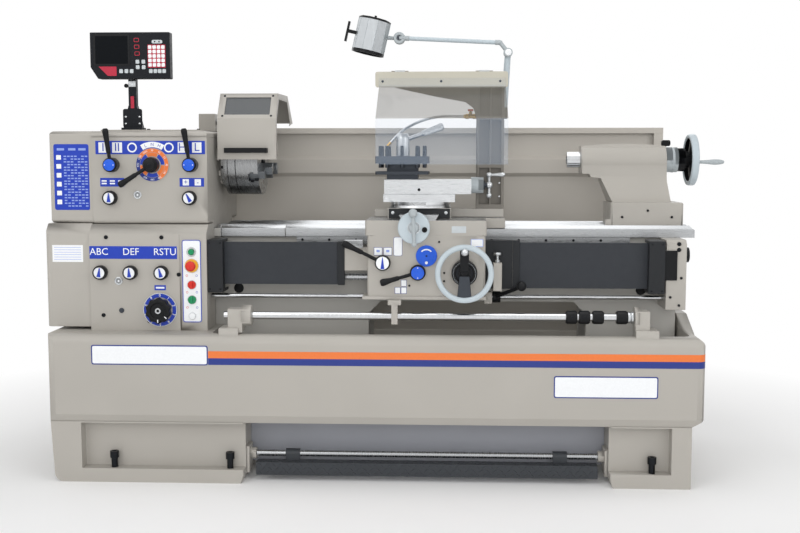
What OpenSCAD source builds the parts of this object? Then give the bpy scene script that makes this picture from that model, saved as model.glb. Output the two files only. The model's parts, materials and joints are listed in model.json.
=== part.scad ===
// Manual gap-bed engine lathe with a digital readout.
// Millimetres, +Z up, floor at Z = 0, operator on the -Y side, tailstock at the +X end.

/* [Base] */
// Length of the base along the bed
base_l = 2230; // [2180:10:2300]
// Distance from the spindle axis to the front of the base
base_front = 400; // [394:2:416]
// Distance from the spindle axis to the back of the base
base_rear = 350; // [346:2:370]
// Height of the base under the headstock
base_top = 517; // [512:1:522]
// Height of the lower edge of the overhanging band
band_z = 240; // [230:2:250]
// Height of the chip tray's floor
tray_floor = 430; // [420:2:440]
// Length of the left pedestal
left_ped_l = 661; // [640:1:680]
// Length of the right pedestal
right_ped_l = 270; // [255:1:290]

/* [Bed] */
// Height of the tops of the ways
bed_top = 878; // [874:1:886]
// Width of the bed over the ways
bed_w = 330; // [328:1:332]
// Thickness of the bed's long walls
bed_wall = 26; // [20:1:32]
// Pitch of the feed rack's teeth
rack_pitch = 7.854; // [7:0.1:9]

/* [Headstock] */
// Height of the spindle axis above the ways
centre_h = 230; // [228:1:236]
// Length of the headstock
head_l = 404; // [398:1:412]
// Width of the headstock
head_w = 520; // [512:2:528]
// Height of the headstock's lid above the spindle axis
head_rise = 99; // [96:1:104]
// Wall of the end cover
cover_wall = 6; // [4:1:10]
// Front of the feed gearbox, measured from the spindle axis
gear_front = 300; // [298:1:306]

/* [Spindle and chuck] */
// Diameter of the spindle
spindle_d = 140; // [130:1:150]
// Diameter of the hole through the spindle
bore_d = 80; // [70:1:82]
// Diameter of the chuck
chuck_d = 254; // [246:1:258]
// Length of the chuck
chuck_l = 124; // [118:1:130]
// Width of a chuck jaw
jaw_w = 30; // [26:1:36]
// Thickness of the chuck guard's sheet
guard_t = 3; // [2:0.5:4]

/* [Rods] */
// Diameter of the leadscrew
leadscrew_d = 36; // [32:1:38]
// Diameter of the feed rod
feed_rod_d = 24; // [20:1:26]
// Diameter of the control rod
control_rod_d = 16; // [12:1:16]
// Diameter of the stop rod
stop_rod_d = 26; // [22:1:28]

/* [Carriage] */
// Middle of the apron along the bed
carriage_x = 1295; // [1255:5:1300]
// Front of the apron, measured from the spindle axis
apron_front = 330; // [326:1:332]
// Length of the apron
apron_l = 402; // [398:1:406]
// Diameter of the apron's handwheel
apron_wheel_d = 196; // [188:1:200]
// Diameter of the cross slide's handwheel
cross_wheel_d = 108; // [104:1:110]
// Width of the cross slide
cross_w = 218; // [216:1:222]
// Side of the tool post's slabs
post_side = 185; // [176:1:186]

/* [Guard and lamp] */
// Height of the guard post above the cross slide's bar
guard_post_h = 471; // [468:1:480]
// Thickness of the tool guard's clear sheet
sheet_t = 4; // [3:0.5:5]
// Diameter of the lamp's arm
lamp_arm_d = 18; // [14:1:20]

/* [Tailstock] */
// Length of the tailstock's base
tail_l = 256; // [250:1:262]
// Diameter of the quill
quill_d = 57; // [54:1:60]
// Diameter of the tailstock's handwheel
tail_wheel_d = 186; // [178:1:194]

/* [Readout] */
// Width of the readout's case
readout_w = 279; // [270:1:290]
// Height of the readout's case
readout_h = 159; // [154:1:166]

/* [Fits] */
// Radial clearance of a turning shaft
run_c = 0.05; // [0.03:0.01:0.08]
// Clearance between sliding faces
slide_c = 0.3; // [0.2:0.05:0.4]

/* [Hidden] */
$fn = 48;

left_x = -30;
tail_x0 = base_l - 283;
tail_x1 = tail_x0 + tail_l;
right_x = tail_x1 + 146;
front_y = -apron_front - 152;
mid_x = (left_x + right_x) / 2;
mid_y = (front_y + base_rear) / 2;

under_z = band_z - 28;
left_ped_x1 = 10 + left_ped_l;
right_ped_x1 = base_l - 40;
right_ped_x0 = right_ped_x1 - right_ped_l;
ledge_z = 48;
pedal_y = -300;
pedal_z = 86;

head_x0 = 130;
head_x1 = head_x0 + head_l;
head_y = head_w / 2;
spindle_z = bed_top + centre_h;
head_top = spindle_z + head_rise;
way_z = bed_top - 12;
flange_z = bed_top - 42;
bed_y = bed_w / 2;
wall_y = bed_y - 25;
bed_x1 = base_l - 55;
way_x1 = base_l + 1;
tray_x0 = head_x1 + 26;

gear_x0 = head_x0 - 4;
gear_x1 = head_x1 + 2;
gear_top = bed_top + 6;

rod_y = -230;
leadscrew_z = bed_top - 113;
feed_rod_z = bed_top - 178;
control_rod_z = bed_top - 246;
stop_y = 55 - base_front;
stop_z = base_top + 61;
stop_x0 = head_x1 + 70;
stop_x1 = base_l - 185;
bracket_x0 = base_l - 117;
bracket_x1 = base_l - 49;
sheet_y = -258;

apron_x0 = carriage_x - apron_l / 2;
apron_x1 = carriage_x + apron_l / 2;
apron_top = bed_top - 27;
apron_bottom = bed_top - 236;
saddle_top = bed_top + 25;
cross_x = carriage_x - 26;
cross_top = saddle_top + 38;
post_y = -160;
disc_top = cross_top + 21;
top_slide_z = disc_top + 26;
top_slide_top = top_slide_z + 52;
crank_z = top_slide_z + 31;
post_x = cross_x - 60;
slide_x0 = cross_x - 124;
slide_x1 = cross_x + 180;
wheel_x = carriage_x + 129;
wheel_z = bed_top - 148;
cross_wheel_x = carriage_x - 40;
cross_wheel_z = bed_top + 4;
apron_y = -apron_front;

mast_x0 = cross_x + 199;
mast_x1 = cross_x + 297;
mast_z0 = saddle_top + 31;
mast_z1 = mast_z0 + guard_post_h;
hinge_y = -112;
hinge_z = mast_z1 + 13;
lamp_y = -45;
elbow = [cross_x + 311, lamp_y, mast_z1 + 84];
knuckle = [cross_x - 78, lamp_y, mast_z1 + 137];
lamp_tilt = 13;

shell_x0 = head_x1 + 14;
shell_x1 = head_x1 + 224;
pivot_y = 225;
pivot_z = spindle_z + 147;
chuck_x0 = head_x1 + 28;
chuck_x1 = chuck_x0 + chuck_l;

readout_x0 = 128;
readout_z0 = head_top + 180;
tilt_y = -185;
tilt_z = readout_z0 + 30;
tilt_x = 259;

// Moves the design so that the middle of its footprint is the origin
module place() {
    translate([-mid_x, -mid_y, 0]) children();
}

module box(x0, x1, y0, y1, z0, z1) {
    translate([x0, y0, z0]) cube([x1 - x0, y1 - y0, z1 - z0]);
}

module bar_x(x0, x1, y, z, r) {
    translate([x0, y, z]) rotate([0, 90, 0]) cylinder(h = x1 - x0, r = r);
}

module bar_y(x, z, y0, y1, r) {
    translate([x, y1, z]) rotate([90, 0, 0]) cylinder(h = y1 - y0, r = r);
}

module bar_z(x, y, z0, z1, r) {
    translate([x, y, z0]) cylinder(h = z1 - z0, r = r);
}

// Straight round bar between two points, with its own radius at each end
module link(a, b, r1, r2) {
    d = b - a;
    translate(a) rotate([0, acos(d[2] / norm(d)), atan2(d[1], d[0])]) cylinder(h = norm(d), r1 = r1, r2 = r2);
}

module ball(p, r) {
    translate(p) sphere(r);
}

// Lever arm from a to b: a neck of one radius, then a grip that widens towards its blunt end
module handle(a, b, neck, near, far, at) {
    d = b - a;
    l = norm(d);
    translate(a) rotate([0, acos(d[2] / l), atan2(d[1], d[0])]) rotate_extrude()
        polygon([[0, 0], [neck, 0], [neck, l * at], [near, l * at], [far, l - 4], [far - 4, l], [0, l]]);
}

module rect(x0, x1, y0, y1, r) {
    translate([x0 + r, y0]) square([x1 - x0 - 2 * r, y1 - y0]);
    translate([x0, y0 + r]) square([x1 - x0, y1 - y0 - 2 * r]);
    for (x = [x0 + r, x1 - r], y = [y0 + r, y1 - r]) translate([x, y]) circle(r);
}

// Outline in Y and Z, extruded along X
module profile_x(x0, x1) {
    translate([x0, 0, 0]) rotate([90, 0, 90]) linear_extrude(x1 - x0) children();
}

// Outline in X and Z, extruded along Y
module profile_y(y0, y1) {
    translate([0, y1, 0]) rotate([90, 0, 0]) linear_extrude(y1 - y0) children();
}

// Outline in X and Y, extruded along Z
module profile_z(z0, z1) {
    translate([0, 0, z0]) linear_extrude(z1 - z0) children();
}

module band_section() {
    polygon([[16 - base_front, under_z], [-base_front, band_z], [-base_front, base_top - 34],
        [34 - base_front, base_top], [base_rear, base_top], [base_rear, under_z]]);
    translate([34 - base_front, base_top - 34]) circle(34);
}

module band_side() {
    polygon([[-2, under_z], [right_ped_x1, under_z], [base_l + 2, band_z], [base_l + 2, base_top - 46],
        [base_l - 46, base_top + 2], [-2, base_top + 2]]);
    translate([base_l - 46, base_top - 46]) circle(48);
}

module pedestals() {
    profile_y(12 - base_front, base_rear - 12) {
        polygon([[4, under_z], [14, 32], [46, 0], [left_ped_x1 - 8, 0], [left_ped_x1, 30], [left_ped_x1, under_z]]);
        translate([46, 32]) circle(32);
    }
    profile_y(12 - base_front, base_rear - 12)
        polygon([[right_ped_x0, under_z], [right_ped_x0, 30], [right_ped_x0 + 8, 0], [right_ped_x1, 0],
            [right_ped_x1, under_z]]);
}

module pedestal_pockets() {
    for (y = [11 - base_front, base_rear - 60]) {
        box(110, left_ped_x1 + 1, y, y + 49, ledge_z, under_z - 4);
        box(right_ped_x0 - 1, right_ped_x1 - 66, y, y + 49, ledge_z, under_z - 4);
    }
    box(34, tray_x0 - 14, 80 - base_front, base_rear - 80, -1, base_top - 25);
    box(tray_x0 - 15, left_ped_x1 - 22, 80 - base_front, base_rear - 80, -1, tray_floor - 15);
    box(right_ped_x0 + 22, right_ped_x1 - 22, 80 - base_front, base_rear - 80, -1, tray_floor - 15);
    box(left_ped_x1 + 20, right_ped_x0 - 20, 26 - base_front, base_rear - 26, under_z + 12, tray_floor - 15);
    box(left_ped_x1 + 20, right_ped_x0 - 20, 175 - base_front, base_rear - 26, under_z - 1, under_z + 13);
}

function screw_xs() = [217, left_ped_x1 - 50, base_l - 167];

function screw_ys() = [36 - base_front, base_rear - 36];

module pedal_bearing(x0, x1, boss0, boss1) {
    difference() {
        union() {
            box(x0, x1, pedal_y - 36, pedal_y + 36, 25, pedal_z + 32);
            bar_x(boss0, boss1, pedal_y, pedal_z, 20);
        }
        bar_x(boss0 - (x1 - x0) / 2, boss1 + (x1 - x0) / 2, pedal_y, pedal_z, 11 + run_c);
    }
}

module stop_bracket(x0, x1, foot0, foot1, flange0, flange1) {
    difference() {
        union() {
            box(foot0, foot1, 14 - base_front, stop_y + 34, base_top - 14, base_top + 22);
            box(x0, x1, stop_y - 28, stop_y + 28, base_top + 4, stop_z + 24);
            bar_x(flange0, flange1, stop_y, stop_z, 36);
        }
        bar_x(x0 - 60, x1 + 60, stop_y, stop_z, stop_rod_d / 2 + run_c);
    }
}

module base() place() color("#b9b3a7") {
    difference() {
        union() {
            intersection() {
                profile_x(0, base_l) band_section();
                profile_z(under_z, base_top) rect(0, base_l, -base_front, base_rear, 28);
                profile_y(-base_front, base_rear) band_side();
            }
            profile_x(base_l - 45, base_l - 8)
                polygon([[90 - base_front, base_top - 40], [-100, base_top + 45], [base_rear - 20, base_top + 45],
                    [base_rear - 20, base_top - 40]]);
            box(head_x1 + 6, base_l - 8, base_rear - 32, base_rear, base_top - 40, base_top + 45);
            pedestals();
        }
        profile_z(tray_floor, base_top + 60) rect(tray_x0, base_l - 46, 42 - base_front, base_rear - 32, 30);
        pedestal_pockets();
        for (x = screw_xs(), y = screw_ys()) bar_z(x, y, -1, ledge_z + 1, 11.4);
    }
    pedal_bearing(left_ped_x1 - 12, left_ped_x1 + 12, left_ped_x1 + 11, left_ped_x1 + 32);
    pedal_bearing(right_ped_x0 - 12, right_ped_x0 + 12, right_ped_x0 - 32, right_ped_x0 - 11);
    stop_bracket(head_x1 + 86, head_x1 + 136, head_x1 + 58, head_x1 + 124, head_x1 + 134, head_x1 + 166);
    stop_bracket(base_l - 232, base_l - 185, base_l - 232, base_l - 156, base_l - 234, base_l - 220);
}

module kick_panel() place() color("#a9abb2") {
    y = 168 - base_front;
    difference() {
        box(left_ped_x1, right_ped_x0, y, y + 4, 26, under_z);
        for (x = [left_ped_x1 - 1, right_ped_x0 - 39]) box(x, x + 40, y - 1, y + 5, 20, 40);
    }
    box(left_ped_x1 + 40, right_ped_x0 - 40, y, y + 30, 26, 30);
}

module leveling_screws() place() color("#2a2a2c") {
    for (x = screw_xs(), y = screw_ys()) {
        bar_z(x, y, 0, ledge_z + 34, 11);
        difference() {
            bar_z(x, y, ledge_z + 33, ledge_z + 56, 15);
            translate([x, y, ledge_z + 46]) cylinder(h = 11, r = 8, $fn = 6);
        }
    }
}

module vee(y, lift) {
    polygon([[y - 14 - 2 * lift, way_z - 1 - lift], [y, bed_top + lift], [y + 14 + 2 * lift, way_z - 1 - lift]]);
}

module bed_walls() {
    for (y = [-wall_y, wall_y - bed_wall]) {
        box(head_x0, tray_x0, y, y + bed_wall, base_top, flange_z);
        box(tray_x0, bed_x1, y, y + bed_wall, tray_floor, flange_z);
    }
    box(head_x0, head_x0 + 30, -wall_y, wall_y, base_top, flange_z);
    box(bed_x1 - 30, bed_x1, -wall_y, wall_y, tray_floor, flange_z);
}

module bed() place() color("#a7a7a8") {
    difference() {
        union() {
            bed_walls();
            box(head_x0, way_x1, -bed_y, -46, flange_z, way_z);
            box(head_x0, way_x1, 46, bed_y, flange_z, way_z);
            profile_x(head_x1 + 8, way_x1) for (y = [27 - bed_y, -80, 80, bed_y - 27]) vee(y, 0);
            for (x = [head_x1 + 80:192:bed_x1 - 60]) box(x, x + 22, -wall_y, wall_y, bed_top - 190, way_z - 14);
            box(head_x0, head_x1, -60, 60, flange_z, way_z);
        }
        profile_y(-wall_y - 1, wall_y + 1)
            polygon([[tray_x0 + 525, tray_floor - 1], [tray_x0 + 525, 560], [tray_x0 + 570, 604],
                [base_l - 415, 604], [base_l - 370, 560], [base_l - 370, tray_floor - 1]]);
        for (x = [tray_x0, tray_x0 + 230]) box(x - 0.8, x + 0.8, -bed_y - 1, -wall_y + 2, 700, bed_top + 1);
        translate([way_x1, 0, bed_top]) rotate([0, 45, 0]) cube([22, bed_w + 2, 22], center = true);
        for (x = [head_x1 + 82, base_l - 178]) bar_y(x, bed_top - 230, -wall_y - 1, -wall_y + 6, 18);
    }
}

module feed_rack() place() color("#c2c4c6") {
    x0 = head_x1 + 296;
    count = floor((base_l - 220 - x0) / rack_pitch);
    x1 = x0 + count * rack_pitch;
    profile_y(-wall_y - 18, -wall_y)
        polygon(concat([[x1, flange_z], [x0, flange_z]],
            [for (i = [0:count - 1], p = [[0, -24], [0.5, -30]])
                [x0 + (i + p[0]) * rack_pitch, flange_z + p[1]]],
            [[x1, flange_z - 24]]));
}

module headstock_core() {
    intersection() {
        profile_x(head_x0, head_x1) rect(-head_y, head_y, gear_top + 2, head_top, 14);
        profile_y(-head_y, head_y) rect(head_x0, head_x1, gear_top + 2, head_top, 8);
    }
    box(head_x0, head_x1, -bed_y, bed_y, way_z, gear_top + 30);
    box(head_x0 + 26, head_x1 - 20, -head_y + 24, head_y - 24, head_top - 1, head_top + 5);
    bar_x(head_x1 - 1, head_x1 + 11, 0, spindle_z, 98);
    bar_y(head_x0 + 214, spindle_z - 18, -head_y - 5, -head_y + 1, 58);
    for (x = [head_x0 + 76, head_x1 - 53]) bar_y(x, spindle_z - 18, -head_y - 6, -head_y + 1, 24);
    box(head_x1 - 130, head_x1 - 66, pivot_y - 32, pivot_y + 32, head_top - 1, pivot_z + 30);
}

module headstock() place() color("#bcb6aa") {
    difference() {
        headstock_core();
        bar_x(head_x0 - 1, head_x1 + 12, 0, spindle_z, spindle_d / 2 + run_c);
        bar_x(head_x1 - 131, head_x1 - 65, pivot_y, pivot_z, 12 + run_c);
        for (x = [head_x0 + 76, head_x0 + 214, head_x1 - 53])
            bar_y(x, spindle_z - 18, -head_y - 7, -head_y + 36, 9 + run_c);
        for (x = [head_x0 + 64, head_x1 - 61])
            bar_y(x, spindle_z - 132, -head_y - 1, -head_y + 31, 7 + run_c);
        difference() {
            box(head_x0 - 1, head_x1 + 1, -head_y - 1, head_y + 1, head_top - 22, head_top - 20);
            box(head_x0 + 2, head_x1 - 2, -head_y + 2, head_y - 2, head_top - 23, head_top - 19);
        }
    }
}

module end_cover() place() color("#bbb5a9") {
    difference() {
        union() {
            intersection() {
                profile_x(-20, head_x0) rect(-head_y + 5, head_y - 5, gear_top + 2, head_top, 14);
                profile_y(-head_y, head_y) rect(-20, head_x0 + 30, gear_top + 2, head_top, 16);
            }
            intersection() {
                profile_x(left_x, gear_x0)
                    polygon([[5 - gear_front, base_top + 10], [5 - gear_front, gear_top - 34], [-head_y, gear_top + 3],
                        [head_y - 5, gear_top + 3], [head_y - 5, base_top + 10]]);
                profile_z(base_top + 10, gear_top + 3) rect(left_x, gear_x0 + 30, 5 - gear_front, head_y - 5, 14);
            }
        }
        box(-20 + cover_wall, head_x0 + 1, -head_y + 5 + cover_wall, head_y - 5 - cover_wall, gear_top - 40,
            head_top - cover_wall);
        box(left_x + cover_wall, gear_x0 + 1, 5 - gear_front + cover_wall, head_y - 5 - cover_wall,
            base_top + 10 + cover_wall, gear_top - 40);
        bar_x(left_x - 1, 0, 0, spindle_z, spindle_d / 2 + 2);
    }
}

module gearbox_core() {
    profile_x(gear_x0, gear_x1)
        polygon([[-gear_front, base_top], [-gear_front, gear_top - 32], [-gear_front + 36, gear_top],
            [-bed_y - 3, gear_top], [-bed_y - 3, base_top]]);
    profile_y(-gear_front - 3, -gear_front + 1) rect(gear_x1 - 86, gear_x1 - 18, base_top + 28, gear_top - 50, 8);
    bar_y(gear_x1 - 165, base_top + 72, -gear_front - 4, -gear_front + 1, 57);
    bar_y(gear_x1 - 52, base_top + 226, -gear_front - 6, -gear_front + 1, 23);
    bar_y(gear_x1 - 52, base_top + 274, -gear_front - 7, -gear_front + 1, 15);
    for (z = [108, 160]) {
        bar_y(gear_x1 - 52, base_top + z, -gear_front - 9, -gear_front + 1, 14);
        box(gear_x1 - 56, gear_x1 - 48, -gear_front - 20, -gear_front, base_top + z - 13, base_top + z + 13);
    }
    bar_y(gear_x1 - 52, base_top + 51, -gear_front - 9, -gear_front + 1, 11);
}

function feed_knob_xs() = [gear_x0 + 40, gear_x0 + 0.4475 * (gear_x1 - 86 - gear_x0), gear_x1 - 157];

module feed_gearbox() place() color("#bab4a8") {
    difference() {
        gearbox_core();
        for (x = feed_knob_xs()) bar_y(x, base_top + 202, -gear_front - 1, -gear_front + 31, 7 + run_c);
        bar_y(gear_x1 - 165, base_top + 72, -gear_front - 5, -gear_front + 36, 10 + run_c);
        bar_y(gear_x1 - 52, base_top + 274, -gear_front - 8, -gear_front + 31, 10 + run_c);
        bar_y(gear_x1 - 52, base_top + 226, -gear_front - 7, -gear_front + 31, 9 + run_c);
        bar_x(gear_x1 - 60, gear_x1 + 1, rod_y, leadscrew_z, leadscrew_d / 2 + run_c);
        bar_x(gear_x1 - 60, gear_x1 + 1, rod_y, feed_rod_z, feed_rod_d / 2 + run_c);
        bar_x(gear_x1 - 60, gear_x1 + 1, rod_y, control_rod_z, control_rod_d / 2 + run_c);
        box(gear_x1 - 95, gear_x1 - 93, -gear_front - 1, -gear_front + 2, base_top - 1, gear_top - 33);
    }
}

module end_bracket() place() color("#bdb7ab") {
    difference() {
        union() {
            profile_x(bracket_x0, bracket_x1)
                polygon([[-280, bed_top - 282], [-280, flange_z - 14], [-266, flange_z], [-wall_y, flange_z],
                    [-wall_y, bed_top - 282]]);
            bar_x(bracket_x1 - 1, bracket_x1 + 20, -212, bed_top - 98, 26);
            box(bracket_x0 - 6, bracket_x0 + 36, -286, -278, bed_top - 180, bed_top - 78);
        }
        bar_x(bracket_x0 - 7, bracket_x1 - 6, rod_y, leadscrew_z, leadscrew_d / 2 + run_c);
        bar_x(bracket_x0 - 7, bracket_x1 - 6, rod_y, feed_rod_z, feed_rod_d / 2 + run_c);
        bar_x(bracket_x0 - 7, bracket_x1 - 6, rod_y, control_rod_z, control_rod_d / 2 + run_c);
        for (z = [14, 34]) bar_y(bracket_x1 - 26, flange_z - z, -281, -272, 8);
    }
}

module cover_housing(x0, x1, z0, z1, slot0, slot1) {
    difference() {
        box(x0, x1, -292, -196, z0, z1);
        box(x0 + 4, x1 - 4, -288, -195, z0 + 4, z1 - 4);
        box(x0 - 1, x1 + 1, -252, -195, z0 + 10, z1 - 10);
        box(slot0, slot1, sheet_y - 1.5, sheet_y + 1.5, z0 + 6, z1 - 6);
    }
    bar_z((x0 + x1) / 2, -270, z0 + 3, z1 - 3, 10);
}

module cover_housings() place() color("#3f4348") {
    cover_housing(gear_x1, gear_x1 + 54, bed_top - 228, bed_top - 46, gear_x1 + 49, gear_x1 + 55);
    cover_housing(bracket_x0 - 60, bracket_x0 - 6, bed_top - 226, bed_top - 46, bracket_x0 - 61, bracket_x0 - 55);
}

module splash_guard() place() color("#b4aea3") {
    y = base_rear - 6;
    z = base_top + 45;
    t = 3;
    profile_x(head_x1 + 8, base_l - 24)
        polygon([[y, z], [y, z + 480], [y - 18, z + 494], [y - 18, z + 548], [y, z + 562], [y, z + 668],
            [y - 24, z + 668], [y - 24, z + 671], [y + t, z + 671], [y + t, z + 560], [y - 18 + t, z + 546],
            [y - 18 + t, z + 496], [y + t, z + 482], [y + t, z]]);
    box(base_l - 60, base_l - 24, y - 24, y - 21, z + 40, z + 671);
    box(base_l - 27, base_l - 24, y - 24, y + 1, z + 40, z + 671);
}

module readout_mast() place() color("#2c2d30") {
    difference() {
        union() {
            box(tilt_x - 36, tilt_x + 36, tilt_y - 30, tilt_y + 30, head_top + 5, head_top + 13);
            profile_y(tilt_y - 10, tilt_y + 14)
                polygon([[tilt_x - 34, head_top + 12], [tilt_x - 15, head_top + 90], [tilt_x + 15, head_top + 90],
                    [tilt_x + 34, head_top + 12]]);
            box(tilt_x - 14, tilt_x + 14, tilt_y - 9, tilt_y + 13, head_top + 80, tilt_z - 8);
            bar_x(tilt_x - 14, tilt_x + 14, tilt_y, tilt_z, 13);
        }
        bar_x(tilt_x - 15, tilt_x + 15, tilt_y, tilt_z, 6 + run_c);
    }
}

module readout_head() place() color("#26272b") {
    y1 = tilt_y - 18;
    profile_y(y1 - 40, y1)
        polygon([[readout_x0, readout_z0 + 40], [readout_x0 + 26, readout_z0], [readout_x0 + readout_w, readout_z0],
            [readout_x0 + readout_w, readout_z0 + readout_h], [readout_x0, readout_z0 + readout_h]]);
    for (x = [tilt_x - 26, tilt_x + 14.5]) {
        box(x, x + 11.5, y1 - 1, tilt_y, tilt_z - 9, tilt_z + 9);
        bar_x(x, x + 11.5, tilt_y, tilt_z, 9);
    }
    bar_x(tilt_x - 26, tilt_x + 26, tilt_y, tilt_z, 6);
}

module spindle() place() color("#c9cbcd") {
    difference() {
        union() {
            bar_x(-24, head_x1 + 20, 0, spindle_z, spindle_d / 2);
            bar_x(head_x1 + 13, chuck_x0, 0, spindle_z, 104);
            bar_x(chuck_x0 - 1, chuck_x0 + 12, 0, spindle_z, 66);
        }
        bar_x(-25, chuck_x0 + 13, 0, spindle_z, bore_d / 2);
    }
}

module chuck_body() place() color("#a9acb0") {
    difference() {
        bar_x(chuck_x0, chuck_x1, 0, spindle_z, chuck_d / 2);
        bar_x(chuck_x0 - 1, chuck_x0 + 12, 0, spindle_z, 66);
        bar_x(chuck_x0 - 1, chuck_x1 + 1, 0, spindle_z, bore_d / 2 + 4);
        for (x = [chuck_x0 + 15, chuck_x0 + 43]) difference() {
            bar_x(x - 1.2, x + 1.2, 0, spindle_z, chuck_d / 2 + 1);
            bar_x(x - 2, x + 2, 0, spindle_z, chuck_d / 2 - 3);
        }
        for (a = [0, 120, 240]) jaw_slot(a);
        for (a = [60, 180, 300])
            translate([chuck_x0 + 70, 0, spindle_z]) rotate([a, 0, 0]) translate([0, 0, chuck_d / 2 - 24])
                rotate([0, 0, 45]) cylinder(h = 30, r = 10, $fn = 4);
    }
}

module jaw_slot(a) {
    translate([0, 0, spindle_z]) rotate([a, 0, 0]) {
        box(chuck_x1 - 36, chuck_x1 + 1, -jaw_w / 2, jaw_w / 2, bore_d / 2 - 6, chuck_d / 2 + 2);
        box(chuck_x1 - 30, chuck_x1 - 16, -jaw_w / 2 - 6, jaw_w / 2 + 6, bore_d / 2 - 6, chuck_d / 2 + 2);
    }
}

module chuck_jaw(a) {
    c = slide_c;
    translate([0, 0, spindle_z]) rotate([a, 0, 0]) {
        box(chuck_x1 - 36 + c, chuck_x1 + 22, c - jaw_w / 2, jaw_w / 2 - c, 46, 112);
        box(chuck_x1 - 30 + c, chuck_x1 - 16 - c, c - jaw_w / 2 - 6, jaw_w / 2 + 6 - c, 46, 112);
        box(chuck_x1 + 20, chuck_x1 + 44, c - jaw_w / 2, jaw_w / 2 - c, 46, 82);
    }
}

module chuck_jaw_1() place() color("#8f9296") chuck_jaw(0);

module chuck_jaw_2() place() color("#8f9296") chuck_jaw(120);

module chuck_jaw_3() place() color("#8f9296") chuck_jaw(240);

function shell_points(t) = [[-150 + t, spindle_z + 1], [-150 + t, spindle_z + 147 - t / 3],
    [-85 + t / 2, spindle_z + 237 - t], [139 - t / 3, spindle_z + 240 - t], [268 - t * 1.2, spindle_z + 142 - t / 3]];

module shell_edge() {
    polygon(concat(shell_points(0), [[200, spindle_z + 132], [120, spindle_z + 100], [-110, spindle_z + 60],
        [-118, spindle_z + 1]]));
}

// Frame of the guard's sloping panel: X along it, Y up the slope, Z outwards
module on_slope() {
    translate([0, -150, spindle_z + 147]) rotate([atan2(90, 65), 0, 0]) children();
}

module chuck_guard() place() color("#b7b1a5") {
    difference() {
        union() {
            profile_x(shell_x0, shell_x1) difference() {
                polygon(concat(shell_points(0), [[268 - guard_t * 1.2, spindle_z + 142 - guard_t / 3]]));
                polygon(concat([[-150 + guard_t, spindle_z]], shell_points(guard_t), [[300, spindle_z]]));
            }
            profile_x(shell_x0, shell_x0 + guard_t) shell_edge();
            profile_x(shell_x1 - guard_t, shell_x1) difference() {
                shell_edge();
                polygon([[-128, spindle_z - 1], [-128, spindle_z + 138], [-72, spindle_z + 216],
                    [130, spindle_z + 216], [200, spindle_z + 140], [110, spindle_z - 1]]);
            }
            bar_x(head_x1 - 128, shell_x0 + 40, pivot_y, pivot_z, 12);
            box(shell_x0 + guard_t, shell_x0 + 40, pivot_y - 14, pivot_y + 14, pivot_z - 14, pivot_z + 20);
            box(shell_x0 + 28, shell_x1 - 30, -176, -166, spindle_z + 24, spindle_z + 42);
            for (x = [shell_x0 + 28, shell_x1 - 44]) box(x, x + 14, -170, -149, spindle_z + 24, spindle_z + 42);
        }
        bar_x(shell_x0 - 1, shell_x0 + guard_t + 1, 0, spindle_z, chuck_d / 2 + 13);
        on_slope() box(shell_x0 + 24, shell_x1 - 24, 16, 94, -20, 5);
    }
}

module chuck_guard_window() place() color("#cfe3ea") on_slope()
    box(shell_x0 + 12, shell_x1 - 12, 8, 100, -guard_t - 4.3, -guard_t - 0.3);

// Lever turning about an axis along Y: hub, shaft and a tapered grip
module range_lever(x, lean) {
    z = spindle_z - 18;
    bar_y(x, z, -head_y - 7, -head_y + 34, 9);
    bar_y(x, z, -head_y - 50, -head_y - 6 - slide_c, 25);
    bar_y(x, z, -head_y - 53, -head_y - 49, 20);
    handle([x, -head_y - 34, z], [x + 126 * sin(lean), -head_y - 38, z + 126 * cos(lean)], 6.5, 8, 11, 0.32);
}

module left_range_lever() place() color("#1f2124") range_lever(head_x0 + 76, -7);

module right_range_lever() place() color("#1f2124") range_lever(head_x1 - 53, -8);

module speed_lever() place() color("#1f2124") {
    x = head_x0 + 214;
    z = spindle_z - 18;
    bar_y(x, z, -head_y - 6, -head_y + 34, 9);
    bar_y(x, z, -head_y - 40, -head_y - 5 - slide_c, 27);
    bar_y(x, z, -head_y - 46, -head_y - 39, 20);
    handle([x, -head_y - 26, z], [x - 106, -head_y - 52, z - 71], 7, 8, 12, 0.46);
}

module small_knob(x, z, y, bore_y) {
    bar_y(x, z, y - 1, bore_y, 7);
    bar_y(x, z, y - 20, y - slide_c, 25);
    difference() {
        bar_y(x, z, y - 28, y - 19, 23);
        bar_y(x, z, y - 29, y - 25, 19);
    }
    box(x - 3.5, x + 3.5, y - 30, y - 24, z - 17, z + 17);
}

module head_knob_left() place() color("#202225")
    small_knob(head_x0 + 64, spindle_z - 132, -head_y, -head_y + 29);

module head_knob_right() place() color("#202225")
    small_knob(head_x1 - 61, spindle_z - 132, -head_y, -head_y + 29);

module feed_knob(i) {
    small_knob(feed_knob_xs()[i], base_top + 202, -gear_front, -gear_front + 29);
}

module feed_knob_1() place() color("#202225") feed_knob(0);

module feed_knob_2() place() color("#202225") feed_knob(1);

module feed_knob_3() place() color("#202225") feed_knob(2);

module pitch_knob() place() color("#1b1c1f") {
    x = gear_x1 - 165;
    z = base_top + 72;
    y = -gear_front - 4 - slide_c;
    bar_y(x, z, y - 1, -gear_front + 34, 10);
    difference() {
        bar_y(x, z, y - 34, y, 45);
        for (a = [0:36:359]) bar_y(x + 49 * cos(a), z + 49 * sin(a), y - 35, y - 8, 9);
        bar_y(x, z, y - 35, y - 28, 26);
    }
}

module start_button() place() color("#2e9a50")
    bar_y(gear_x1 - 52, base_top + 274, -gear_front - 15, -gear_front + 24, 10);

module stop_button() place() color("#c22a25") {
    bar_y(gear_x1 - 52, base_top + 226, -gear_front - 18, -gear_front + 20, 9);
    bar_y(gear_x1 - 52, base_top + 226, -gear_front - 32, -gear_front - 17, 18);
}

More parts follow.
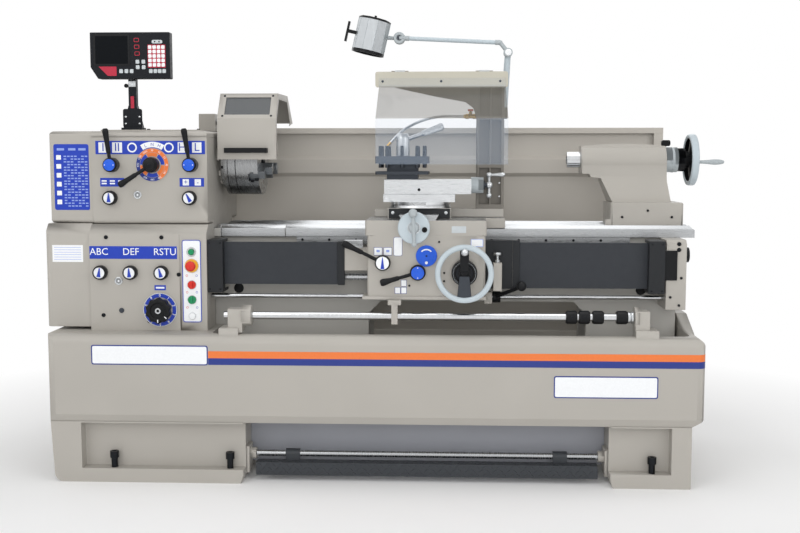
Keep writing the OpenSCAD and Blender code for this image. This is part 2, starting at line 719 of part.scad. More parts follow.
module leadscrew() place() color("#b8bbbf")
    bar_x(gear_x1 - 56, bracket_x1 - 8, rod_y, leadscrew_z, leadscrew_d / 2);

module feed_rod() place() color("#b8bbbf")
    bar_x(gear_x1 - 56, bracket_x1 - 8, rod_y, feed_rod_z, feed_rod_d / 2);

module control_rod() place() color("#c3c6ca")
    bar_x(gear_x1 - 56, bracket_x1 - 8, rod_y, control_rod_z, control_rod_d / 2);

module stop_rod() place() color("#c9ccd0") {
    bar_x(stop_x0, stop_x1 - 4, stop_y, stop_z, stop_rod_d / 2);
    for (x = [-463, -420, -374, -294]) bar_x(base_l + x, base_l + x + 38, stop_y, stop_z, stop_rod_d / 2 + 10);
    bar_x(base_l - 256, base_l - 236, stop_y, stop_z, stop_rod_d / 2 + 7);
}

module brake_pedal() place() color("#3a3c40") {
    bar_x(left_ped_x1 + 8, right_ped_x0 - 8, pedal_y, pedal_z, 11);
    difference() {
        box(left_ped_x1 + 36, right_ped_x0 - 36, pedal_y - 48, pedal_y, 20, 65);
        box(left_ped_x1 + 35, right_ped_x0 - 35, pedal_y - 43, pedal_y + 1, 14, 60);
    }
    for (x = [left_ped_x1 + 135, right_ped_x0 - 188]) {
        bar_x(x, x + 50, pedal_y, pedal_z, 17);
        box(x, x + 50, pedal_y - 17, pedal_y + 8, 62, pedal_z);
    }
}

module dovetail(x, z, half, rise, grow) {
    polygon([[x - half - grow, z - grow], [x - half - 12 - grow, z + rise + grow],
        [x + half + 12 + grow, z + rise + grow], [x + half + grow, z - grow]]);
}

module saddle() place() color("#b8b2a6") {
    x0 = apron_x0 - 7;
    difference() {
        union() {
            profile_z(apron_top, saddle_top) rect(x0, apron_x1 + 4, apron_y, -bed_y - 8, 10);
            box(x0, apron_x1 + 4, apron_y + 40, 90 - bed_y, way_z + 2, saddle_top);
            box(x0, apron_x1 + 73, -bed_y - 8, 60 - bed_y, way_z + 2, saddle_top);
            box(x0, apron_x1 + 73, bed_y - 60, bed_y + 8, way_z + 2, saddle_top);
            box(cross_x - 119, cross_x + 116, -bed_y, bed_y, bed_top + 6, saddle_top);
            profile_y(apron_y + 12, bed_y + 4) dovetail(cross_x, saddle_top - 1, 56, 19, 0);
        }
        profile_x(x0 - 1, apron_x1 + 74) for (y = [27 - bed_y, -80, 80, bed_y - 27]) vee(y, 1);
        bar_y(cross_wheel_x, cross_wheel_z, apron_y - 1, apron_y + 46, 12 + run_c);
    }
}

// Where the half-nut lever and the feed lever turn on the apron
function lever_spots() = [[apron_x0 + 54, bed_top - 118], [carriage_x - 28, bed_top - 151]];

module apron_core() {
    profile_z(apron_bottom, apron_top) rect(apron_x0, apron_x1, apron_y, -bed_y - 12, 10);
    box(apron_x0 - 17, apron_x1 + 2, apron_y - 6, rod_y - 15, apron_bottom - 8, apron_bottom + 3);
    bar_y(cross_wheel_x - 8, apron_top - 14, apron_y - 7, apron_y + 1, 13);
    bar_y(carriage_x + 1, bed_top - 95, apron_y - 7, apron_y + 1, 36);
    for (p = lever_spots()) bar_y(p[0], p[1], apron_y - 5, apron_y + 1, 22);
    bar_y(wheel_x, wheel_z, apron_y - 8, apron_y + 1, 48);
    box(apron_x0 - 84, apron_x0 + 1, sheet_y - 6, sheet_y + 6, bed_top - 153, bed_top - 72);
    box(apron_x0 - 84, apron_x0 - 18, sheet_y - 20, sheet_y + 14, bed_top - 73, bed_top - 46);
    box(apron_x0 - 108, apron_x0 - 83, sheet_y - 8, sheet_y + 6, bed_top - 204, bed_top - 52);
    box(apron_x1 - 1, apron_x1 + 96, sheet_y - 4, sheet_y + 6, bed_top - 214, bed_top - 46);
    box(apron_x1 + 95, apron_x1 + 119, sheet_y - 8, sheet_y + 6, bed_top - 214, bed_top - 46);
    box(apron_x1 + 28, apron_x1 + 57, sheet_y - 50, sheet_y, bed_top - 217, bed_top - 121);
    box(apron_x1 - 1, apron_x1 + 26, rod_y - 22, rod_y + 22, control_rod_z - 22, control_rod_z + 18);
    box(apron_x0 + 72, apron_x0 + 117, stop_y - 20, apron_y + 30, apron_bottom - 24, apron_bottom - 7);
    box(apron_x0 + 84, apron_x0 + 105, stop_y - 20, stop_y + 20, stop_z - 26, apron_bottom - 7);
}

module apron() place() color("#b6b0a4") {
    difference() {
        apron_core();
        bar_x(apron_x0 - 20, apron_x1 + 60, rod_y, leadscrew_z, leadscrew_d / 2 + 1);
        bar_x(apron_x0 - 20, apron_x1 + 60, rod_y, feed_rod_z, feed_rod_d / 2 + 1);
        bar_x(apron_x0 - 20, apron_x1 + 60, rod_y, control_rod_z, control_rod_d / 2 + 1);
        bar_x(apron_x0 + 80, apron_x0 + 110, stop_y, stop_z, stop_rod_d / 2 + 1);
        bar_y(wheel_x, wheel_z, apron_y - 9, apron_y + 46, 14 + run_c);
        for (p = lever_spots()) bar_y(p[0], p[1], apron_y - 6, apron_y + 46, 9 + run_c);
        bar_z(apron_x1 + 42, sheet_y - 28, bed_top - 150, bed_top - 120, 5 + run_c);
    }
}

module roll_covers() place() color("#45494f") {
    x0 = gear_x1 + 44;
    x1 = apron_x0 - 108;
    box(x0, x1, sheet_y - 0.6, sheet_y + 0.6, bed_top - 202, bed_top - 54);
    box(apron_x1 + 119, bracket_x0 - 50, sheet_y - 0.6, sheet_y + 0.6, bed_top - 212, bed_top - 54);
}

module post_pockets() {
    zs = [mast_z0 + 16, mast_z0 + 152, mast_z0 + 322, mast_z1 - 14];
    for (i = [0:2], x = [mast_x0 + 10, mast_x0 + 52])
        box(x, x + 36, -111, -86, zs[i] + (i > 0 ? 7 : 0), zs[i + 1] - (i < 2 ? 7 : 0));
}

module guard_post() place() color("#aaa498") {
    difference() {
        union() {
            box(mast_x0, mast_x1, -110, -50, mast_z0, mast_z1);
            profile_y(-110, -90)
                polygon([[cross_x - 91, mast_z1], [cross_x - 91, mast_z1 - 42], [cross_x + 51, mast_z1 - 73],
                    [cross_x + 159, mast_z1 - 93], [cross_x + 186, mast_z1 - 113], [mast_x0 + 1, mast_z1 - 150],
                    [mast_x0 + 1, mast_z1]]);
            box(cross_x - 91, mast_x0 + 1, -110, -60, mast_z1 - 12, mast_z1);
            link([cross_x + 297, lamp_y + 14, mast_z1 - 147], [elbow[0], lamp_y + 14, elbow[2] - 8], 13, 11);
            box(mast_x1 - 10, mast_x1 + 14, -56, lamp_y + 16, mast_z1 - 150, mast_z1 - 110);
            bar_y(elbow[0], elbow[2], lamp_y + slide_c, lamp_y + 14, 16);
            bar_y(elbow[0], elbow[2], lamp_y - 15, lamp_y + 1, 5);
            for (x = hinge_xs()) {
                bar_x(x - 30, x + 30, hinge_y, hinge_z, 3);
                for (s = [-30, 18.5]) {
                    box(x + s, x + s + 11.5, hinge_y + 0.5, hinge_y + 12, mast_z1 - 2, hinge_z + 2.6);
                    bar_x(x + s, x + s + 11.5, hinge_y, hinge_z, 3.2);
                }
            }
        }
        post_pockets();
    }
}

function hinge_xs() = [cross_x - 73, cross_x + 225];

module tool_guard() place() color("#c9c4b6") {
    x0 = cross_x - 160;
    x1 = cross_x + 309;
    t = sheet_t;
    box(x0, x1, hinge_y - 6, hinge_y - 3.5, mast_z1 - 42, hinge_z);
    profile_x(x0 + 13, x1 - 8)
        polygon([[hinge_y - 5, mast_z1 - 10], [hinge_y - 5 - t, mast_z1 - 10], [hinge_y - 5 - t, mast_z1 - 40],
            [-310 - t, mast_z1 - 159], [-310 - t, mast_z1 - 313], [-310, mast_z1 - 313], [-310, mast_z1 - 161],
            [hinge_y - 5, mast_z1 - 42]]);
    for (x = hinge_xs()) difference() {
        union() {
            bar_x(x - 18, x + 18, hinge_y, hinge_z, 6);
            box(x - 18, x + 18, hinge_y - 6, hinge_y, hinge_z, hinge_z + 5);
        }
        bar_x(x - 19, x + 19, hinge_y, hinge_z, 3 + run_c);
    }
}

module coolant_pipe() place() color("#8d9094") {
    z = mast_z1 - 143;
    p = [[cross_x + 159, -80, z], [cross_x + 71, -60, z + 1], [cross_x - 4, -20, z - 15],
        [cross_x - 69, 35, z - 47], [cross_x - 114, 45, z - 90], [cross_x - 132, 45, z - 112]];
    for (i = [0:4]) {
        link(p[i], p[i + 1], 5, 5);
        ball(p[i + 1], 5.8);
    }
    bar_x(cross_x + 155, mast_x0, -80, z, 9);
    bar_z(cross_x + 178, -80, z, z + 22, 6);
    box(cross_x + 170, cross_x + 186, -86, -74, z + 18, z + 26);
}

module lamp_arm() place() color("#b9bcbd") {
    r = lamp_arm_d / 2;
    y = lamp_y - r - 1;
    bend = [elbow[0] - 29, y, elbow[2] + 35];
    difference() {
        union() {
            bar_y(elbow[0], elbow[2], lamp_y - 18, lamp_y - slide_c, 16);
            link([elbow[0], y, elbow[2]], bend, r - 1.5, r - 1.5);
            ball(bend, r);
            link(bend, [knuckle[0], y, knuckle[2]], r, r);
            bar_y(knuckle[0], knuckle[2], lamp_y - 18, lamp_y - slide_c, 21);
            bar_y(knuckle[0], knuckle[2], lamp_y - 1, lamp_y + 15, 6);
        }
        bar_y(elbow[0], elbow[2], lamp_y - 16, lamp_y, 5 + run_c);
    }
}

module lamp_head() place() color("#c8cbce") {
    difference() {
        union() {
            bar_y(knuckle[0], knuckle[2], lamp_y + slide_c, lamp_y + 14, 21);
            link([knuckle[0] - 10, lamp_y + 8, knuckle[2]], [knuckle[0] - 56, lamp_y + 6, knuckle[2] + 4], 6, 8);
            translate([knuckle[0] - 101, lamp_y, knuckle[2] + 6]) rotate([0, lamp_tilt, 0]) lamp_can();
        }
        bar_y(knuckle[0], knuckle[2], lamp_y - 1, lamp_y + 15, 6 + run_c);
    }
}

module lamp_can() {
    difference() {
        union() {
            translate([0, 0, -62]) cylinder(h = 124, r = 58, $fn = 10);
            translate([0, 0, 60]) cylinder(h = 5, r = 54, $fn = 10);
        }
        translate([0, 0, -63]) cylinder(h = 100, r = 51);
    }
    translate([0, 0, -50]) cylinder(h = 6, r = 51.5);
    box(-86, -54, -6, 6, -4, 8);
    box(-92, -84, -8, 8, -36, 36);
    box(-4, 4, -4, 4, 62, 76);
}

// Handwheel rim: a ring with rounded edges about an axis along Y
module rim(x, z, y, r, w, t) {
    translate([x, y, z]) rotate([90, 0, 0]) rotate_extrude($fn = 96) translate([r - w, 0]) rect(0, w, 0, t, t / 3);
}

module apron_handwheel() place() color("#b4bcc2") {
    y = apron_y - 8 - slide_c;
    r = apron_wheel_d / 2;
    bar_y(wheel_x, wheel_z, y - 1, apron_y + 44, 14);
    bar_y(wheel_x, wheel_z, y - 64, y, 43);
    rim(wheel_x, wheel_z, y - 58, r, 19, 22);
    box(wheel_x - 15, wheel_x + 15, y - 74, y - 62, wheel_z, wheel_z + r - 16);
    profile_y(y - 74, y - 62)
        polygon([[wheel_x - 17, wheel_z], [wheel_x - 24, wheel_z + 16 - r], [wheel_x + 24, wheel_z + 16 - r],
            [wheel_x + 17, wheel_z]]);
    bar_y(wheel_x, wheel_z + r - 22, front_y + 12, y - 70, 9);
    ball([wheel_x, front_y + 12, wheel_z + r - 22], 12);
}

module cross_handwheel() place() color("#b7c0c6") {
    y = apron_y - slide_c;
    r = cross_wheel_d / 2;
    bar_y(cross_wheel_x, cross_wheel_z, y - 1, apron_y + 44, 12);
    bar_y(cross_wheel_x, cross_wheel_z, y - 56, y, 17);
    bar_y(cross_wheel_x, cross_wheel_z, y - 70, y - 54, r);
    bar_y(cross_wheel_x, cross_wheel_z, y - 88, y - 69, 16);
    link([cross_wheel_x, y - 84, cross_wheel_z], [cross_wheel_x - 2, y - 90, cross_wheel_z + 50], 8, 6);
    link([cross_wheel_x, y - 84, cross_wheel_z], [cross_wheel_x + 2, y - 88, cross_wheel_z - 54], 8, 5);
    ball([cross_wheel_x - 2, y - 92, cross_wheel_z + 50], 15);
    ball([cross_wheel_x + 2, y - 88, cross_wheel_z - 54], 9);
    bar_y(cross_wheel_x + 36, cross_wheel_z - 6, y - 78, y - 69, 9);
}

// Apron lever turning about an axis along Y, with a tapered grip
module apron_lever(p, dx, dz) {
    x = p[0];
    z = p[1];
    y = apron_y - 5 - slide_c;
    bar_y(x, z, y - 1, apron_y + 44, 9);
    bar_y(x, z, y - 22, y, 27);
    bar_y(x, z, y - 25, y - 21, 22);
    handle([x, y - 11, z], [x + dx, y - 34, z + dz], 6.5, 8, 13, 0.5);
}

module halfnut_lever() place() color("#1f2124") apron_lever(lever_spots()[0], -135, 70);

module feed_lever() place() color("#1f2124") apron_lever(lever_spots()[1], -126, -34);

module start_lever() place() color("#1d1e21") {
    x0 = apron_x1 + 28;
    difference() {
        union() {
            bar_x(x0, x0 + 28, rod_y, control_rod_z, 20);
            link([x0 + 14, rod_y - 14, control_rod_z + 4], [x0 + 95, rod_y - 92, control_rod_z + 46], 8, 6);
            ball([x0 + 95, rod_y - 92, control_rod_z + 48], 17);
        }
        bar_x(x0 - 1, x0 + 29, rod_y, control_rod_z, control_rod_d / 2 + run_c);
    }
}

module thread_dial() place() color("#c0c2c4") {
    bar_z(apron_x1 + 42, sheet_y - 28, bed_top - 148, bed_top - 94, 5);
    bar_z(apron_x1 + 42, sheet_y - 28, bed_top - 96, bed_top - 86, 14);
    bar_z(apron_x1 + 42, sheet_y - 28, bed_top - 121 + slide_c, bed_top - 112, 9);
}

module cross_slide() place() color("#b3ada1") {
    difference() {
        union() {
            box(cross_x - cross_w / 2, cross_x + cross_w / 2, -236, bed_y + 5, saddle_top + slide_c, cross_top);
            box(cross_x - 164, cross_x - cross_w / 2 + 1, -110, -50, saddle_top + 2, mast_z0 - 4);
            box(cross_x + cross_w / 2 - 1, mast_x1, -110, -50, saddle_top + 2, mast_z0);
            bar_z(cross_x, post_y, cross_top - 1, cross_top + 15, 30);
        }
        profile_y(-237, bed_y + 6) dovetail(cross_x, saddle_top - 1, 56, 19, 2 * slide_c);
    }
}

module compound_base() place() color("#c6c9cb") {
    difference() {
        union() {
            bar_z(cross_x, post_y, cross_top + slide_c, disc_top, 104);
            box(slide_x0 - 3, cross_x + 124, post_y - 55, post_y + 55, disc_top - 1, top_slide_z);
            profile_x(slide_x0, cross_x + 124) dovetail(post_y, top_slide_z - 1, 26, 15, 0);
        }
        bar_z(cross_x, post_y, cross_top, cross_top + 15.5, 30 + run_c);
    }
}

module top_slide() place() color("#d3d6d8") {
    difference() {
        union() {
            box(slide_x0, slide_x1, post_y - 55, post_y + 55, top_slide_z + slide_c, top_slide_top);
            bar_x(slide_x1 - 1, slide_x1 + 43, post_y, crank_z, 28);
            bar_z(post_x, post_y, top_slide_top - 1, top_slide_top + 80, 20);
            bar_z(post_x, post_y, top_slide_top + 79, top_slide_top + 110, 14);
        }
        profile_x(slide_x0 - 1, slide_x1 + 1) dovetail(post_y, top_slide_z - 1, 26, 15, 2 * slide_c);
        bar_x(slide_x1 - 20, slide_x1 + 44, post_y, crank_z, 8 + run_c);
    }
}

module compound_handle() place() color("#c4c7c9") {
    x = slide_x1 + 63;
    bar_x(slide_x1 - 16, x, post_y, crank_z, 8);
    bar_x(slide_x1 + 43 + slide_c, slide_x1 + 48, post_y, crank_z, 16);
    ball([x, post_y, crank_z], 13);
    bar_z(x, post_y, crank_z - 36, crank_z + 36, 5.5);
    for (z = [-36, 36]) ball([x, post_y, crank_z + z], 10);
    link([x, post_y, crank_z + 36], [x + 48, post_y, crank_z + 37], 5, 8);
    ball([x + 48, post_y, crank_z + 37], 8);
}

module toolpost() place() color("#4a4e54") {
    h = post_side / 2;
    z = top_slide_top + slide_c;
    difference() {
        union() {
            box(post_x - 54, post_x + 54, post_y - 54, post_y + 54, z, top_slide_top + 56);
            profile_z(top_slide_top + 17, top_slide_top + 28) rect(post_x - h, post_x + h, post_y - h, post_y + h, 8);
            profile_z(top_slide_top + 55, top_slide_top + 80) rect(post_x - h, post_x + h, post_y - h, post_y + h, 8);
            for (a = [0:90:359], s = [-52, 0, 52]) translate([post_x, post_y, 0]) rotate([0, 0, a]) {
                bar_z(s, h - 16, top_slide_top + 40, top_slide_top + 104, 6.5);
                translate([s, h - 16, top_slide_top + 100]) rotate([0, 0, 45]) cylinder(h = 16, r = 8, $fn = 4);
            }
        }
        bar_z(post_x, post_y, top_slide_top - 1, top_slide_top + 81, 20 + run_c);
    }
}

module toolpost_lever() place() color("#c3c9cd") {
    z = top_slide_top + 80 + slide_c;
    difference() {
        union() {
            bar_z(post_x, post_y, z, top_slide_top + 150, 24);
            bar_z(post_x, post_y, top_slide_top + 149, top_slide_top + 160, 18);
            handle([post_x, post_y, top_slide_top + 134], [post_x + 142, post_y + 8, top_slide_top + 186], 7.5, 11, 14, 0.48);
        }
        bar_z(post_x, post_y, z - 1, top_slide_top + 111, 14 + run_c);
    }
}

module tail_side() {
    z = spindle_z;
    polygon([[tail_x0 - 100, z + 50], [tail_x0 - 40, z + 55], [tail_x0 + 70, z + 58], [tail_x0 + 140, z + 55],
        [tail_x0 + 202, z + 49], [tail_x0 + 206, z - 80], [tail_x0 + 218, bed_top + 77], [tail_x0 + 8, bed_top + 77],
        [tail_x0 - 30, z - 66], [tail_x0 - 64, z - 62], [tail_x0 - 70, z - 50], [tail_x0 - 100, z - 50]]);
}

module tail_section() {
    translate([0, spindle_z]) circle(54);
    polygon([[-52, spindle_z + 8], [-46, spindle_z - 60], [-70, bed_top + 76], [70, bed_top + 76],
        [46, spindle_z - 60], [52, spindle_z + 8]]);
    translate([-30, spindle_z + 10]) square([60, 50]);
}

module tailstock() place() color("#bab4a8") {
    difference() {
        union() {
            intersection() {
                profile_y(-110, 110) tail_side();
                profile_x(tail_x0 - 101, tail_x0 + 220) tail_section();
            }
            profile_z(way_z + 2, bed_top + 78) rect(tail_x0, tail_x1, -105, 105, 8);
            bar_x(tail_x0 + 200, tail_x0 + 248, 0, spindle_z, 45);
            bar_x(tail_x0 + 247, tail_x0 + 274, 0, spindle_z, 42);
            bar_y(tail_x0 + 183, spindle_z + 12, 40, 60, 15);
            box(tail_x0 - 18, tail_x0 + 1, -100, -72, way_z + 2, bed_top + 18);
        }
        profile_x(tail_x0 - 20, tail_x1 + 1) for (y = [-80, 80]) vee(y, 1);
        bar_x(tail_x0 - 102, tail_x0 + 180, 0, spindle_z, quill_d / 2 + run_c);
        bar_x(tail_x0 + 179, tail_x0 + 275, 0, spindle_z, 14 + run_c);
        bar_y(tail_x0 + 183, spindle_z + 12, 46, 61, 6 + run_c);
    }
}

module quill() place() color("#cdd0d3") {
    x0 = tail_x0 - 149;
    difference() {
        bar_x(x0, tail_x0 + 140, 0, spindle_z, quill_d / 2);
        translate([x0 - 1, 0, spindle_z]) rotate([0, 90, 0]) cylinder(h = 130, r1 = 15.9, r2 = 12.6);
        bar_x(tail_x0 - 10, tail_x0 + 141, 0, spindle_z, 15);
    }
}

module tailstock_wheel() place() color("#9aa0a5") {
    x = tail_x0 + 274 + slide_c;
    r = tail_wheel_d / 2;
    bar_x(tail_x0 + 25, x + 20, 0, spindle_z, 14);
    bar_x(x, x + 30, 0, spindle_z, 30);
    difference() {
        translate([x + 3, 0, spindle_z]) rotate([0, 90, 0]) rotate_extrude($fn = 96) rect(0.01, r, 0, 52, 9);
        bar_x(x + 2, x + 38, 0, spindle_z, r - 16);
    }
    bar_x(x + 2, x + 40, 0, spindle_z, 32);
    for (a = [30, 150, 270]) translate([x, 0, spindle_z]) rotate([a, 0, 0]) box(22, 40, -12, 12, 20, r - 14);
    link([x + 54, -68, spindle_z - 8], [right_x - 40, -68, spindle_z - 8], 6, 9);
    link([right_x - 40, -68, spindle_z - 8], [right_x, -68, spindle_z - 8], 9, 5);
}

module quill_lock() place() color("#232427") {
    x = tail_x0 + 183;
    z = spindle_z + 12;
    bar_y(x, z, 47, 62, 6);
    bar_y(x, z, 60 + slide_c, 74, 14);
    link([x, 69, z], [x + 38, 69, z + 46], 7, 8);
    profile_y(60 + slide_c, 76) rect(x + 22, x + 54, z + 38, z + 60, 7);
}

base();
kick_panel();
leveling_screws();
bed();
feed_rack();
headstock();
end_cover();
feed_gearbox();
end_bracket();
cover_housings();
splash_guard();
readout_mast();
spindle();
chuck_body();
chuck_jaw_1();
chuck_jaw_2();
chuck_jaw_3();
chuck_guard();
chuck_guard_window();
left_range_lever();
right_range_lever();
speed_lever();
head_knob_left();
head_knob_right();
feed_knob_1();
feed_knob_2();
feed_knob_3();
pitch_knob();
start_button();
stop_button();
leadscrew();
feed_rod();
control_rod();
stop_rod();
brake_pedal();
saddle();
apron();
roll_covers();
guard_post();
coolant_pipe();
apron_handwheel();
halfnut_lever();
feed_lever();
start_lever();
thread_dial();
cross_slide();
cross_handwheel();
compound_base();
top_slide();
compound_handle();
toolpost();
toolpost_lever();
tool_guard();
lamp_arm();
lamp_head();
tailstock();
quill();
tailstock_wheel();
quill_lock();
readout_head();
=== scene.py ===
"""Manual gap-bed engine lathe with a digital readout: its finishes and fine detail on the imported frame.

Places are in the machine's own millimetres: X from the left end of the base, Y from the spindle axis,
with the operator on the -Y side, and Z from the floor.
"""

from __future__ import annotations

import json
import logging
import math
from dataclasses import dataclass
from enum import Enum
from typing import Callable, Sequence

import bmesh
import bpy
from mathutils import Euler, Matrix, Vector

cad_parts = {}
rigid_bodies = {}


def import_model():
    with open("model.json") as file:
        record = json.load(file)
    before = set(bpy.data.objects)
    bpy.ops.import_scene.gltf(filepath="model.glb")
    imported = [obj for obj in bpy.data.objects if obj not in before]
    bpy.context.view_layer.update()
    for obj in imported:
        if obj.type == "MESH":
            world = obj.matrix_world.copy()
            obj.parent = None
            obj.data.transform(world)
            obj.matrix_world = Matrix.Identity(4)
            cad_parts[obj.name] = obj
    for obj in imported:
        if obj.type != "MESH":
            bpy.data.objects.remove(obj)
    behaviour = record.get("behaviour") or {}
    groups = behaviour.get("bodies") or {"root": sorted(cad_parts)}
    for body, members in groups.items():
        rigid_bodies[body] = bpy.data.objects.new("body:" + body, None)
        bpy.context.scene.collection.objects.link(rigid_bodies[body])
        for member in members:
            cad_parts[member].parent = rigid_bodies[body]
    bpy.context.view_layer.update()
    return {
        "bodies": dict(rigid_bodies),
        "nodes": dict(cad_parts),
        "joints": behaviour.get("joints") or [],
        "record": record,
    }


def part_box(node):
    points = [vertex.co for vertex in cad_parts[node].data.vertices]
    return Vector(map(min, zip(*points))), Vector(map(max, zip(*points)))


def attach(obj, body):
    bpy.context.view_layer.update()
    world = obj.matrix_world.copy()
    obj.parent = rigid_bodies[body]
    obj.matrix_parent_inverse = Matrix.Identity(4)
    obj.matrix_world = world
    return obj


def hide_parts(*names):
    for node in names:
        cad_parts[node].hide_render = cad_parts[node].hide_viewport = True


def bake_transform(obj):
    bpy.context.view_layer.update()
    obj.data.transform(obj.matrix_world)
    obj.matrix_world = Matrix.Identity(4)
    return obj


LOG = logging.getLogger("engine_lathe")
Pair = tuple[float, float]
Point = Sequence[float]
Chooser = Callable[[Vector, Vector], "Finish | None"]
Link = tuple[str, str, str, str]
MM_PER_M = 1000.0
ORIGIN = Matrix.Identity(4)
# Past these angles an edge is shaded sharp, on a piece and on a small copy.
SHARP_ANGLE, COPY_SHARP_ANGLE = math.radians(46), math.radians(40)
# An edge is rounded past this angle, where the faces beside it are this many radii deep.
ROUNDED_ABOVE, ROOM_PER_RADIUS = math.radians(28), 2.4
# A round takes up this share of the edges beside it, unless they run on at more than this angle in radians.
SHARE_OF_EDGE, NEARLY_STRAIGHT = 0.45, 2.6
# Where along an edge that depth is measured, and how many radii from a fold the edges stay sharp.
ACROSS_AT, FOLD_REACH = (0.08, 0.5, 0.92), 3


def linear(code: str, gain: float = 1.0) -> tuple[float, float, float, float]:
    """Turns a hex colour into linear light.

    Args:
        code: Colour as seven characters, such as "#c0ffee".
        gain: Factor on the light.

    Returns:
        Red, green, blue and alpha.
    """
    parts = [int(code[i : i + 2], 16) / 255 for i in (1, 3, 5)]
    light = [c / 12.92 if c <= 0.04045 else ((c + 0.055) / 1.055) ** 2.4 for c in parts]
    return tuple(min(1.0, c * gain) for c in light) + (1.0,)


class Bench:
    """Short forms of the shader nodes that the finishes are made of."""

    def __init__(self, material: bpy.types.Material) -> None:
        """Keeps the material's tree, its shader and its object coordinates.

        Args:
            material: Material that uses nodes.
        """
        self.tree = material.node_tree
        self.shader = self.tree.nodes["Principled BSDF"]
        self.coords = self.tree.nodes.new("ShaderNodeTexCoord").outputs["Object"]

    def fix(self, **values: object) -> None:
        """Sets the shader's own sockets, named with underscores for spaces."""
        for name, value in values.items():
            self.shader.inputs[name.replace("_", " ")].default_value = value

    def node(self, kind: str, **sockets: object) -> bpy.types.Node:
        """Adds a node and fills its inputs.

        Args:
            kind: Kind of the node, as its type is called after "ShaderNode".
            sockets: Value or source of each input, named with underscores for spaces.

        Returns:
            The node.
        """
        node = self.tree.nodes.new(f"ShaderNode{kind}")
        for name, value in sockets.items():
            socket = node.inputs[name.replace("_", " ")]
            if isinstance(value, bpy.types.NodeSocket):
                self.tree.links.new(value, socket)
            else:
                socket.default_value = value
        return node

    def noise(self, scale: float, detail: float = 3.0, stretch: Point = (1, 1, 1)) -> bpy.types.NodeSocket:
        """Noise pattern with a scale per metre, octaves, and a factor on the scale along each axis."""
        spot = self.node("Mapping", Vector=self.coords, Scale=tuple(stretch)).outputs["Vector"]
        return self.node("TexNoise", Vector=spot, Scale=scale, Detail=detail).outputs["Fac"]

    def ribs(self, scale: float) -> bpy.types.NodeSocket:
        """Height of parallel ribs across X."""
        return self.node("TexWave", Vector=self.coords, Scale=scale).outputs["Fac"]

    def colour(self, value: bpy.types.NodeSocket, low: Point, high: Point) -> None:
        """Colours the shader between two colours by a pattern.

        Args:
            value: The pattern.
            low: Colour where it is 0.
            high: Colour where it is 1.
        """
        mix = self.node("Mix")
        mix.data_type = "RGBA"
        mix.inputs[6].default_value = low
        mix.inputs[7].default_value = high
        self.tree.links.new(value, mix.inputs[0])
        self.tree.links.new(mix.outputs[2], self.shader.inputs["Base Color"])

    def rough(self, value: bpy.types.NodeSocket, low: float, high: float) -> None:
        """Varies the shader's roughness between two values by a pattern."""
        spread = self.node("MapRange", Value=value, From_Min=0.3, From_Max=0.7, To_Min=max(0.02, low), To_Max=high)
        self.tree.links.new(spread.outputs["Result"], self.shader.inputs["Roughness"])

    def bump(self, value: bpy.types.NodeSocket, strength: float, depth: float) -> None:
        """Raises the surface by a pattern, to a depth in metres."""
        raised = self.node("Bump", Height=value, Strength=strength, Distance=depth)
        self.tree.links.new(raised.outputs["Normal"], self.shader.inputs["Normal"])


@dataclass(frozen=True)
class Finish:
    """Look of one kind of surface, with the record's slot that it belongs to."""

    name: str
    slot: str
    colour: str
    rough: float = 0.4

    def material(self) -> bpy.types.Material:
        """Makes the material the first time, and hands it out after that.

        Returns:
            The material.
        """
        made = bpy.data.materials.get(self.name)
        if made is None:
            made = bpy.data.materials.new(self.name)
            made.use_nodes = True
            self.dress(Bench(made))
        return made

    def dress(self, bench: Bench) -> None:
        """Sets the material's nodes."""
        raise NotImplementedError


@dataclass(frozen=True)
class Enamel(Finish):
    """Sprayed machine paint with a little orange peel."""

    peel: float = 0.12

    def dress(self, bench: Bench) -> None:
        """Mottles the colour faintly and varies the gloss.

        Args:
            bench: Nodes of the material.
        """
        bench.fix(Specular_IOR_Level=0.3, Coat_Weight=0.03, Coat_Roughness=0.2)
        bench.colour(bench.noise(4.0, 4.0), linear(self.colour, 0.94), linear(self.colour, 1.05))
        bench.rough(bench.noise(38.0, 4.0), self.rough - 0.06, self.rough + 0.08)
        bench.bump(bench.noise(520.0, 2.0), self.peel, 0.0006)


@dataclass(frozen=True)
class Metal(Finish):
    """Bare metal with grinding or turning marks that run one way."""

    lay: Point = (30.0, 700.0, 700.0)
    mark: float = 0.1

    def dress(self, bench: Bench) -> None:
        """Streaks colour, gloss and height along the lay of the marks.

        Args:
            bench: Nodes of the material.
        """
        bench.fix(Metallic=1.0)
        streak = bench.noise(1.0, 3.0, self.lay)
        bench.colour(streak, linear(self.colour, 0.86), linear(self.colour, 1.08))
        bench.rough(streak, self.rough - 0.07, self.rough + 0.09)
        bench.bump(streak, self.mark, 0.0003)


@dataclass(frozen=True)
class Moulded(Finish):
    """Moulded plastic or rubber with a fine grain."""

    grain: float = 0.12
    coat: float = 0.0
    gloss: float = 0.14

    def dress(self, bench: Bench) -> None:
        """Gives the grain and a slight change of tone.

        Args:
            bench: Nodes of the material.
        """
        bench.fix(Specular_IOR_Level=self.gloss, Coat_Weight=self.coat, Coat_Roughness=0.08)
        bench.colour(bench.noise(45.0), linear(self.colour, 0.85), linear(self.colour, 1.12))
        bench.rough(bench.noise(90.0), self.rough - 0.06, self.rough + 0.08)
        bench.bump(bench.noise(1500.0, 2.0), self.grain, 0.0002)


